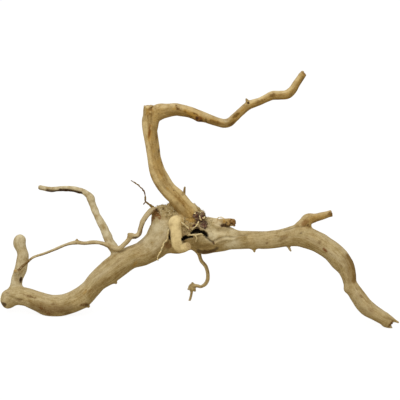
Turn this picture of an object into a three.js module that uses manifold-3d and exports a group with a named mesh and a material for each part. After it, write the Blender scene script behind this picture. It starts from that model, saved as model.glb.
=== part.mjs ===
// A piece of driftwood: a branched root crown with two thick arms that carry it, one tall bent branch,
// short stubs, and thin wandering roots. It grew as one piece, so it is one closed solid.
// Millimetres, +Z up. It is seen from -Y, and it rests on Z = 0 on three low points.
import * as THREE from "three";
import { mergeVertices } from "three/addons/utils/BufferGeometryUtils.js";
import Module from "manifold-3d";

// The eye that the limbs are laid out for: a little above the piece, some way off.
const EYE_DISTANCE = 1500;
const EYE_TILT = THREE.MathUtils.degToRad(12);
// The middle of that view, in the stations' own measures: across from the left end, up from the front foot,
// and back from the front foot to the middle of the crown.
const VIEW_ACROSS = 200;
const VIEW_UP = 130;
const CROWN_BACK = 80;
// What is taken off every place, so that the origin is at the middle of the piece's foot.
const ORIGIN = new THREE.Vector3(196.1, 61.1, 2.5);

// How the surface departs from round, as a part of the radius: long ridges that wind along a limb, by their
// count, their twist to the millimetre and their share, and slow lumps along it, by their pace and share.
const GNARL = 0.022;
const RIDGES = [
  { count: 3, twist: 0.045, share: 1 },
  { count: 5, twist: -0.06, share: 0.7 },
];
const LUMP_PACE = 0.17;
const LUMP_SHARE = 1.2;
// How finely the limbs are divided: a ring's length in radii of the limb, its least length, and the sides.
const RING_RADII = 1.15;
const RING_LEAST = 4;
const ARM_SIDES = 14;
const BRANCH_SIDES = 10;
const ROOT_SIDES = 7;
const HAIR_SIDES = 5;
// The turns of the rings that round off an end, and the bevel of a cut one as a part of its radius.
const END_TURNS = [0, 30, 60].map(THREE.MathUtils.degToRad);
const CUT_BEVEL = 0.15;
// How many places along a limb have a frame worked out, and how near two corners are one.
const FRAMES = 240;
const MERGE_DISTANCE = 1e-4;

// Limbs. Each station is [across, up, back, radius], and a limb ends round unless it is cut.
const LEFT_ARM = [
  [164, 126.6, 85, 8], [163, 116, 84, 11.2], [164, 103, 82, 13.6], [157.5, 88, 78.5, 14.3],
  [143.5, 78.4, 73, 11.9], [130, 72, 68, 11.7], [120, 65.4, 65, 12], [110, 58.5, 63, 11.5],
  [98, 49.2, 61, 9.9], [90, 41.2, 59.8, 10.2], [81, 33.1, 59, 10.7], [67.5, 26.6, 59.5, 10.8],
  [53, 24.4, 61, 10.9], [38, 28.7, 63.5, 9.9], [26, 33.3, 66.5, 8.9], [14, 34.2, 70, 9],
  [1.4, 31, 73, 7.5],
];
const LEFT_HEEL = [[20, 34, 67, 7], [13, 31, 68.5, 7.8], [3, 25.2, 70, 7.4]];
const LEFT_STUB = [
  [15.5, 37, 72, 7.6], [17.2, 48, 75, 6.5], [20, 58, 77, 6], [21.6, 67, 79.5, 5.7], [21.6, 77, 82, 5.8],
  [20.2, 86, 84, 6], [20.4, 95.8, 86, 6.2],
];
const RIGHT_ARM = [
  [190, 98, 80, 13], [203, 94, 78, 14], [213, 92.2, 76, 13.6], [222, 91.5, 74, 11.6],
  [232, 90.4, 72, 9.8], [243, 89.8, 70, 9], [254, 89.8, 68, 8.7], [266, 90, 65.5, 8.4],
  [278, 91, 63, 8.5], [288, 92.8, 60.5, 9.3], [298, 94.2, 58.5, 10.7], [307, 92.8, 56.5, 11],
  [315.8, 88.9, 54, 10.3], [323.8, 84.2, 51.5, 9.9], [332.6, 78, 48.5, 9.7], [340.4, 70.4, 45.5, 9.5],
  [346, 62.2, 42, 8.6], [348.7, 54, 38.5, 7.1], [350.4, 46.5, 35.5, 6.8], [354, 39.2, 32, 7.3],
  [359.8, 30.8, 27.5, 7.8], [366.8, 22.6, 23.5, 8], [376, 16.2, 20, 7], [384.4, 11.2, 17, 6.6],
  [389.5, 8, 15, 5.8],
];
const FORK_STUB = [
  [297.5, 96.6, 58, 8.6], [302.8, 103.6, 58.5, 7.2], [308, 110.4, 59.5, 5.4], [314.5, 112.7, 61, 4],
  [320, 113.6, 62.5, 3.5], [326, 115, 64, 3.4], [331, 116.4, 65.2, 3.3],
];
const UPPER_BRANCH = [
  [199, 108, 80, 10], [188.6, 120.4, 77, 9.7], [176.2, 132, 75.5, 8.1], [168.2, 139.6, 76, 7.8],
  [160.8, 150, 79, 7.7], [155.9, 160.8, 83, 7], [153.6, 171, 86, 6.2], [152.4, 181, 89, 6],
  [150.9, 191, 92, 6.4], [149.7, 201, 94, 6.9], [149.5, 210, 96, 7.4], [152.6, 217, 97, 7.3],
  [160, 219.3, 97, 6.9], [168, 220.2, 96, 6], [178, 219.9, 95, 5.7], [188, 217.9, 93, 5.4],
  [198, 214.4, 91, 5.2], [208, 211, 88, 4.7], [217, 208.2, 86, 4.3], [224, 206.6, 84, 4.3],
  [229.4, 207.8, 83, 4.2], [234.6, 212.4, 81, 3.8], [241.2, 217.8, 79, 3.7], [248.7, 224, 77, 4],
  [259.5, 228, 74, 3.7], [266, 231.2, 73, 3.8], [272, 233.9, 72, 4.2], [280, 234.4, 71, 4.2],
  [287.4, 235.4, 70, 4.4], [292.4, 239.2, 69.5, 4], [297, 246.2, 68.5, 3.7], [301.4, 252.6, 68, 3.7],
  [305, 258, 67.4, 3.4],
];
const ELBOW_STUMP = [[151, 208, 96, 6.5], [148.2, 217, 97, 5.5], [147.6, 224.9, 97.5, 4]];
const ELBOW_WEB = [[151.5, 200, 94.5, 4.6], [156.4, 211.6, 96, 4.9], [171, 218.6, 96, 3.6]];
const FRONT_STUB = [
  [180, 104, 78, 6.5], [176.5, 107.5, 66, 6], [174.5, 106, 61.5, 5.8], [175, 97, 58, 5.7],
  [176.4, 88, 55.5, 5.8], [177.8, 82.4, 54.5, 6.1], [183, 81, 53.5, 5.2], [190.4, 84, 53, 4.4],
];
const CROWN = [
  [163, 104, 84, 13], [176, 104, 82, 18.5], [190, 101, 80, 18.5], [203, 97, 78, 15], [214, 93, 75, 11],
];
const CROWN_LOWER = [
  [163, 86, 80, 8], [177, 86, 81, 9], [191, 89, 80.5, 8.8], [205, 87.8, 79, 11.8], [214, 88.2, 76, 11],
  [231, 90.4, 72, 9.4],
];
const CROWN_UPPER = [[196, 104, 79, 9], [211, 103, 76, 9], [222, 98, 73.5, 8.2], [236, 91, 71, 7.6]];
const THIN_BRANCH = [
  [122, 66, 66, 6.5], [115.8, 77, 67, 6], [109.7, 87.5, 69, 4.6], [104.6, 100.3, 73, 3.9],
  [99.9, 109, 76, 3.5], [95.9, 118.3, 80, 3.1], [92.7, 126.6, 83, 3.2], [90.4, 132.4, 85, 3.1],
  [86.4, 136.6, 88, 2.7], [80, 139.4, 91, 2.6], [68, 141.4, 96, 2.4], [58, 141, 100, 2.25],
  [50, 140.6, 103, 2.25], [43, 141.9, 105, 2.1], [38.4, 143, 106, 2],
];
const THIN_ROOT = [
  [161, 114, 81, 5], [153.5, 119.3, 74, 3.8], [148.4, 115.6, 71, 2.8], [144, 109.5, 68, 2.7],
  [141, 102, 66, 2.4], [139, 96.3, 64.5, 2.3], [135.6, 93.8, 63, 2.3], [131.2, 94, 62, 2.6],
  [128.4, 90, 61, 2.1], [124.3, 85.8, 60.5, 2], [119.3, 81.6, 60.5, 2.2], [113.5, 82, 62, 2.3],
  [107, 84.9, 62, 2.2], [100, 87.2, 62, 1.9], [93, 87.7, 62, 2], [84, 86.8, 62, 1.8], [77, 87.6, 62, 2],
  [67, 85.7, 62, 1.5], [53, 79.8, 62.5, 1.35], [43, 76, 63, 1.25], [33, 72.6, 64, 1.2],
  [27.5, 68, 64.5, 1.2], [22, 63.3, 65, 1.25], [18, 59.2, 65.5, 1.4], [14, 58.6, 66, 1.3],
];
const CURLY_ROOT = [
  [195, 86, 83, 5], [198.2, 77.5, 85, 3.7], [201.3, 70, 87.5, 2.7], [204.8, 64, 90, 2.3],
  [207.3, 56.5, 92.5, 2.2], [207.7, 50, 95, 2.2], [205.8, 45.5, 97.5, 2.1], [201.5, 43.1, 100.5, 2],
  [196.5, 43.2, 103, 2], [192.3, 42.6, 105, 2.4], [191.8, 38, 107.5, 1.8], [190.8, 33.6, 110, 1.6],
  [188.7, 28, 113, 1.5],
];
const SMALL_STUB = [
  [213, 103, 74, 6], [221, 106.6, 71, 4], [228, 107.2, 69, 3.1], [234.2, 106.6, 68, 3],
];
const HAIR_TWIG = [
  [156, 120, 79, 2], [152, 123, 75, 1.6], [149, 125.8, 73, 1.2], [145.8, 128, 72, 1],
  [145.2, 133, 71, 0.8], [144.7, 137, 70, 0.75], [141.6, 141.8, 69, 0.6], [137.5, 145.4, 68, 0.5],
  [131, 149.6, 67, 0.45],
];
const THREAD_ROOT = [
  [173, 103, 66, 1.2], [169, 101, 62.5, 0.9], [167.6, 95, 63.5, 0.8], [167.6, 91, 65, 0.8],
  [164, 86.6, 65, 0.75], [161.2, 79.5, 64.5, 0.7], [157.4, 72.4, 65, 0.65], [158.2, 69.8, 66, 0.5],
];

// Spurs: thorns, nubs, twigs and splinters, short and pointed, with their roots sunk in a limb.
const SPURS = [
  // Nubs under the left arm, and on the thin branch and the thin root.
  [[109, 53, 62, 5], [113.5, 49.5, 60.5, 2.8], [116.6, 46.6, 59.5, 0.8]],
  [[81, 30, 56, 5.5], [86, 25.5, 54.5, 3], [89.4, 22.9, 54, 0.8]],
  [[92, 130, 84, 2.8], [90, 130.6, 84, 2.4], [87.8, 131, 84, 0.8]],
  [[131, 94, 62, 2.2], [129.3, 95.4, 61.6, 1.6], [128.4, 96.4, 61.4, 0.6]],
  [[77.2, 87, 62, 1.6], [77, 89.4, 61.8, 1.1], [76.8, 91, 61.6, 0.5]],
  // The hair twig's fork.
  [[146, 128, 72, 0.8], [144.6, 127, 71.4, 0.65], [143.3, 125.8, 71, 0.45]],
  // A twig with two prongs behind the foot of the upper branch.
  [[183, 128, 79, 3.4], [184, 136, 80, 1.9], [184.9, 143.4, 81, 0.6]],
  [[183, 128, 79, 3.4], [182.2, 136, 81, 1.9], [180, 140, 82, 0.6]],
  // Thorns under the right arm, on the upper arm, and a nub on the inner side of the right knee.
  [[254, 86, 66, 5], [254.2, 80.5, 64, 1.9], [254.6, 77.8, 63, 0.5]],
  [[287.5, 88, 59, 4.4], [288.8, 83.4, 57.4, 1.4], [290.2, 79.6, 56, 0.5]],
  [[249, 224, 76, 2.8], [247.2, 228.6, 74.8, 1.2], [246, 231, 74, 0.5]],
  [[353, 41.5, 33, 5], [347.4, 40.2, 33, 2.6], [344.6, 39.4, 33, 0.8]],
  // Splinters of the broken right end.
  [[383, 13.6, 17, 4], [391, 11.2, 14, 2.8], [399, 7.5, 11.5, 0.6]],
  [[382, 9, 18, 4.4], [388, 4.6, 16, 3], [392.4, 0.8, 14.5, 0.8]],
  [[383, 11, 21, 3.6], [390, 7.8, 20, 1.8], [395.4, 5.4, 19.4, 0.5]],
  [[384, 10, 13, 3.4], [389.6, 7.6, 10, 1.9], [393.4, 5.6, 8.6, 0.5]],
  // Spurs of the knot on the curly root.
  [[192, 42.6, 105, 2.4], [190, 41.6, 103.6, 1.3], [187.8, 40.6, 102, 0.5]],
  [[192.4, 43, 105, 2.4], [192.6, 45.6, 104, 1.2], [192.4, 47.6, 103.4, 0.5]],
  [[192.4, 42, 105, 2.4], [194.4, 40, 104, 1.2], [195.4, 38.6, 103.6, 0.5]],
  // Strands of bark over the hollow, and a fibre arched over the small stub.
  [[176, 108, 62, 2], [183, 105.4, 60.6, 1.3], [189, 101, 60.4, 0.9], [191.4, 98, 61.6, 0.5]],
  [
    [188, 94.6, 64, 1.6], [193.6, 94, 60.8, 0.8], [196.6, 92, 61, 0.7], [196.4, 88, 63.6, 0.8],
    [195.6, 85, 68, 0.8],
  ],
  [
    [210, 108, 74, 2], [215, 111.4, 71.6, 0.7], [220, 112.4, 70.4, 0.6], [224.6, 110.4, 70, 0.6],
    [226, 107, 70, 0.8],
  ],
];

// Lumps, [across, up, back, radius]: old knots, a bud scar, and the knot of the curly root.
const LUMPS = [
  [175.5, 222.4, 94, 3.4], [198.4, 212.2, 90, 3.9], [192, 43, 105, 3.7], [91, 131, 84.4, 3.4],
  [178.6, 107, 62, 4.6], [304.6, 111.6, 59, 3.6], [201, 80, 79, 5],
];

// Crumbs and tags of bark at the crown, drawn from a seed: where each patch lies, its size, and their count.
const BARK_SEED = 7;
const DRAW_FACTOR = 16807;
const DRAW_MODULUS = 2147483647;
const BARK_PATCHES = [
  { middle: [200, 109.6, 66], spread: [5.4, 7, 3], size: [1.6, 3.2], count: 12 },
  { middle: [187, 108, 61.5], spread: [7, 5, 2], size: [1.5, 2.8], count: 10 },
  { middle: [163, 121, 82], spread: [7, 3, 8], size: [1.3, 2.4], count: 8 },
  { middle: [190, 106, 97], spread: [16, 10, 2], size: [1.6, 3.4], count: 10 },
];

// The hollow under the bark: a slot along the front of the crown, and two pockets that run back from it.
const HOLLOW_SLOT = [
  [182.6, 88, 59, 2], [186, 92, 60.5, 3], [193, 98, 61.5, 3.4], [200, 97.6, 63, 2.8],
  [207, 95, 64, 1.6],
];
const HOLLOW_POCKETS = [
  [[195, 98.4, 54, 3.4], [195, 98.6, 66, 3.6], [194, 98, 76, 2.4]],
  [[186, 91, 54, 2.8], [186.4, 91.6, 66, 3], [187, 92, 75, 2]],
];

// The block that stands for the surface under it, which wears three small flats on its lowest points.
const FLOOR_SIZE = 600;

const wasm = await Module();
wasm.setup();

// The eye's own directions and place.
const SIGHT = new THREE.Vector3(0, Math.cos(EYE_TILT), -Math.sin(EYE_TILT));
const VIEW_RISE = new THREE.Vector3(0, Math.sin(EYE_TILT), Math.cos(EYE_TILT));
const VIEW_MIDDLE = new THREE.Vector3(
  VIEW_ACROSS,
  CROWN_BACK,
  (VIEW_UP - CROWN_BACK * Math.sin(EYE_TILT)) / Math.cos(EYE_TILT),
);
const EYE = VIEW_MIDDLE.clone().addScaledVector(SIGHT, -EYE_DISTANCE);

// The place where the sight line through (across, up) of the view meets the upright plane at `back`,
// and how much larger a thing is there than in the view.
function place([across, up, back]) {
  const ray = VIEW_MIDDLE.clone()
    .add(new THREE.Vector3(across - VIEW_ACROSS, 0, 0))
    .addScaledVector(VIEW_RISE, up - VIEW_UP)
    .sub(EYE);
  const scale = (back - EYE.y) / ray.y;
  return { point: EYE.clone().addScaledVector(ray, scale).sub(ORIGIN), scale };
}

// The radius's departure from round at a distance along a limb and an angle round it.
function gnarl(phase, along, angle) {
  const ridges = RIDGES.reduce(
    (sum, { count, twist, share }) => sum + share * Math.sin(count * (angle + phase) + twist * along),
    0,
  );
  const lumps = LUMP_SHARE * Math.sin(LUMP_PACE * along + phase) * Math.cos(angle + phase);
  return 1 + GNARL * (ridges + lumps);
}

// A manifold solid from a closed three.js geometry.
function solidFrom(geometry) {
  geometry.deleteAttribute("normal");
  geometry.deleteAttribute("uv");
  const merged = mergeVertices(geometry, MERGE_DISTANCE);
  const corners = merged.index.array;
  const kept = [];
  for (let i = 0; i < corners.length; i += 3) {
    const [a, b, c] = corners.subarray(i, i + 3);
    if (a !== b && b !== c && c !== a) kept.push(a, b, c);
  }
  const mesh = new wasm.Mesh({
    numProp: 3,
    vertProperties: merged.attributes.position.array,
    triVerts: new Uint32Array(kept),
  });
  return new wasm.Manifold(mesh);
}

// The rings that round off an end: their distance from its tip, and their share of its radius.
function endRings(radius) {
  return END_TURNS.map((turn) => ({ inset: radius * (1 - Math.cos(turn)), share: Math.sin(turn) }));
}

// The rings of a limb: the distance of each along it, and its share of the limb's radius there.
function ringsOf(length, startRadius, endRadius, step, cut) {
  const first = Math.min(startRadius, length / 3);
  const endRound = Math.min(endRadius, length / 3);
  const last = cut ? length - CUT_BEVEL * endRadius : length - endRound;
  const count = Math.max(2, Math.round((last - first) / step));
  const rings = endRings(first).map(({ inset, share }) => ({ along: inset, share }));
  for (let i = 0; i <= count; i += 1) {
    rings.push({ along: THREE.MathUtils.lerp(first, last, i / count), share: 1 });
  }
  if (cut) {
    rings.push({ along: length, share: 1 - CUT_BEVEL }, { along: length, share: 0 });
  } else {
    const end = endRings(endRound).map(({ inset, share }) => ({ along: length - inset, share }));
    rings.push(...end.reverse());
  }
  return rings;
}

// A limb: a lathe turning of its radii, bent along the smooth curve through its stations.
function limb(stations, sides, { cut = false, plain = false } = {}) {
  const placed = stations.map(place);
  const curve = new THREE.CatmullRomCurve3(placed.map(({ point }) => point), false, "centripetal");
  const widths = placed.map(({ scale }, i) => new THREE.Vector2(i, scale * stations[i][3]));
  const radii = new THREE.SplineCurve(widths);
  const length = curve.getLength();
  const radiusAt = (share) => radii.getPoint(curve.getUtoTmapping(share)).y;
  const meanRadius = stations.reduce((sum, station) => sum + station[3], 0) / stations.length;
  const step = Math.max(RING_LEAST, RING_RADII * meanRadius);
  const rings = ringsOf(length, radiusAt(0), radiusAt(1), step, cut);

  const frames = curve.computeFrenetFrames(FRAMES, false);
  const phase = stations[0][0] + stations[0][1];
  const turning = new THREE.LatheGeometry(
    rings.map(({ along, share }, i) => new THREE.Vector2(share * radiusAt(along / length), i)),
    sides,
  );
  const position = turning.attributes.position;
  for (let i = 0; i < position.count; i += 1) {
    const { along } = rings[Math.round(position.getY(i))];
    const share = along / length;
    const frame = Math.round(share * FRAMES);
    const x = position.getX(i);
    const z = position.getZ(i);
    const swell = plain ? 1 : gnarl(phase, along, Math.atan2(z, x));
    const point = curve
      .getPointAt(share)
      .addScaledVector(frames.normals[frame], swell * z)
      .addScaledVector(frames.binormals[frame], swell * x);
    position.setXYZ(i, point.x, point.y, point.z);
  }
  return solidFrom(turning);
}

// An old knot or a lump of bark.
function lump([across, up, back, radius], detail) {
  const { point, scale } = place([across, up, back]);
  const ball = new THREE.IcosahedronGeometry(radius * scale, detail);
  return solidFrom(ball.translate(point.x, point.y, point.z));
}

// Seeded draws between 0 and 1.
function draws(seed) {
  let state = seed;
  return () => {
    state = (state * DRAW_FACTOR) % DRAW_MODULUS;
    return state / DRAW_MODULUS;
  };
}

// The crumbs of bark in a patch of the crown.
function crumbs({ middle, spread, size, count }, draw) {
  return Array.from({ length: count }, () => {
    const at = middle.map((value, axis) => value + spread[axis] * (2 * draw() - 1));
    return lump([...at, THREE.MathUtils.lerp(size[0], size[1], draw())], 0);
  });
}

// The surface under the piece, as a block whose top is at Z = 0.
function floorBlock() {
  const block = new THREE.BoxGeometry(FLOOR_SIZE, FLOOR_SIZE, FLOOR_SIZE).translate(0, 0, -FLOOR_SIZE / 2);
  return solidFrom(block);
}

function buildWood() {
  const limbs = [
    limb(CROWN, ARM_SIDES),
    limb(CROWN_LOWER, ARM_SIDES),
    limb(CROWN_UPPER, ARM_SIDES),
    limb(LEFT_ARM, ARM_SIDES),
    limb(LEFT_HEEL, BRANCH_SIDES),
    limb(LEFT_STUB, BRANCH_SIDES),
    limb(RIGHT_ARM, ARM_SIDES, { cut: true }),
    limb(FORK_STUB, BRANCH_SIDES, { cut: true }),
    limb(UPPER_BRANCH, BRANCH_SIDES, { cut: true }),
    limb(ELBOW_STUMP, BRANCH_SIDES, { cut: true }),
    limb(ELBOW_WEB, BRANCH_SIDES),
    limb(FRONT_STUB, BRANCH_SIDES, { cut: true }),
    limb(SMALL_STUB, BRANCH_SIDES, { cut: true }),
    limb(THIN_BRANCH, ROOT_SIDES),
    limb(THIN_ROOT, ROOT_SIDES),
    limb(CURLY_ROOT, ROOT_SIDES),
    limb(HAIR_TWIG, HAIR_SIDES),
    limb(THREAD_ROOT, HAIR_SIDES),
  ];
  const spurs = SPURS.map((stations) => limb(stations, HAIR_SIDES, { plain: true }));
  const lumps = LUMPS.map((station) => lump(station, 1));
  const draw = draws(BARK_SEED);
  const bark = BARK_PATCHES.flatMap((patch) => crumbs(patch, draw));
  const hollows = [HOLLOW_SLOT, ...HOLLOW_POCKETS].map((stations) => limb(stations, ROOT_SIDES));

  const grown = [...limbs, ...spurs, ...lumps].reduce((whole, piece) => whole.add(piece));
  const hollowed = hollows.reduce((whole, piece) => whole.subtract(piece), grown);
  const barked = bark.reduce((whole, piece) => whole.add(piece), hollowed);
  const rested = barked.subtract(floorBlock());
  // Scraps that the cuts leave loose are dropped.
  return rested.decompose().sort((a, b) => b.volume() - a.volume())[0];
}

// A three.js geometry from a manifold solid.
function geometryFrom(solid) {
  const { vertProperties, triVerts } = solid.getMesh();
  const geometry = new THREE.BufferGeometry();
  geometry.setAttribute("position", new THREE.BufferAttribute(vertProperties, 3));
  geometry.setIndex(new THREE.BufferAttribute(triVerts, 1));
  geometry.computeVertexNormals();
  return geometry;
}

const driftwood = new THREE.Mesh(
  geometryFrom(buildWood()),
  new THREE.MeshStandardMaterial({ color: 0xb9a06c, roughness: 0.85, metalness: 0 }),
);
driftwood.name = "driftwood";

const part = new THREE.Group();
part.add(driftwood);

export default part;
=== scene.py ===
"""A piece of driftwood: the finished surface of a branched root crown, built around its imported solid.

The thick and thin limbs grow out of one another as one body of wood. Hair roots, loose fibres and crumbs of
bark are pieces of their own on it. Lengths in the lists are millimetres, as on the solid.
"""
import functools
import itertools
import math

import bpy
import numpy as np
from bpy.props import FloatProperty, FloatVectorProperty, IntProperty, PointerProperty
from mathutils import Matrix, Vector


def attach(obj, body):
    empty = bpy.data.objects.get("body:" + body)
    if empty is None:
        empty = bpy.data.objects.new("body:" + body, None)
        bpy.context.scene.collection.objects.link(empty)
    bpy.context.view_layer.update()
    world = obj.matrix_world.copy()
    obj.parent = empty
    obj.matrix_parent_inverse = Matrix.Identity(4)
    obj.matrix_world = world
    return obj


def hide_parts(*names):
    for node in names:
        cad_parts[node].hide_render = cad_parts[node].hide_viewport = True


bl_info = {
    "name": "Driftwood",
    "version": (1, 0, 0),
    "blender": (4, 5, 0),
    "location": "View3D > Sidebar > Driftwood",
    "description": "Builds a weathered piece of root wood on its packed solid",
    "category": "Add Mesh",
}

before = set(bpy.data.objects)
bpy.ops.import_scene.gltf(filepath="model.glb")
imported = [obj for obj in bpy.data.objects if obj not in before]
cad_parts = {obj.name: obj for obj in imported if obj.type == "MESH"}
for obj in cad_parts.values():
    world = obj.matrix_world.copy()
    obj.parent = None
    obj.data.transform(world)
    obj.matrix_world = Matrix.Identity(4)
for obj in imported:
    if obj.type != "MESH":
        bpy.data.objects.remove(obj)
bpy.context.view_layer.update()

MM = 0.001
BODY = "root"
NODE = "driftwood"

# The eye that the limbs are laid out for, and the middle of its view, in the stations' own measures.
EYE_DISTANCE = 1500
EYE_TILT = math.radians(12)
VIEW_ACROSS = 200
VIEW_UP = 130
VIEW_WIDTH = 400
CROWN_BACK = 80
ORIGIN = np.array([196.1, 61.1, 2.5])

SIGHT = np.array([0, math.cos(EYE_TILT), -math.sin(EYE_TILT)])
VIEW_RISE = np.array([0, math.sin(EYE_TILT), math.cos(EYE_TILT)])
VIEW_MIDDLE = np.array([
    VIEW_ACROSS,
    CROWN_BACK,
    (VIEW_UP - CROWN_BACK * math.sin(EYE_TILT)) / math.cos(EYE_TILT),
])
EYE = VIEW_MIDDLE - EYE_DISTANCE * SIGHT

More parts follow.
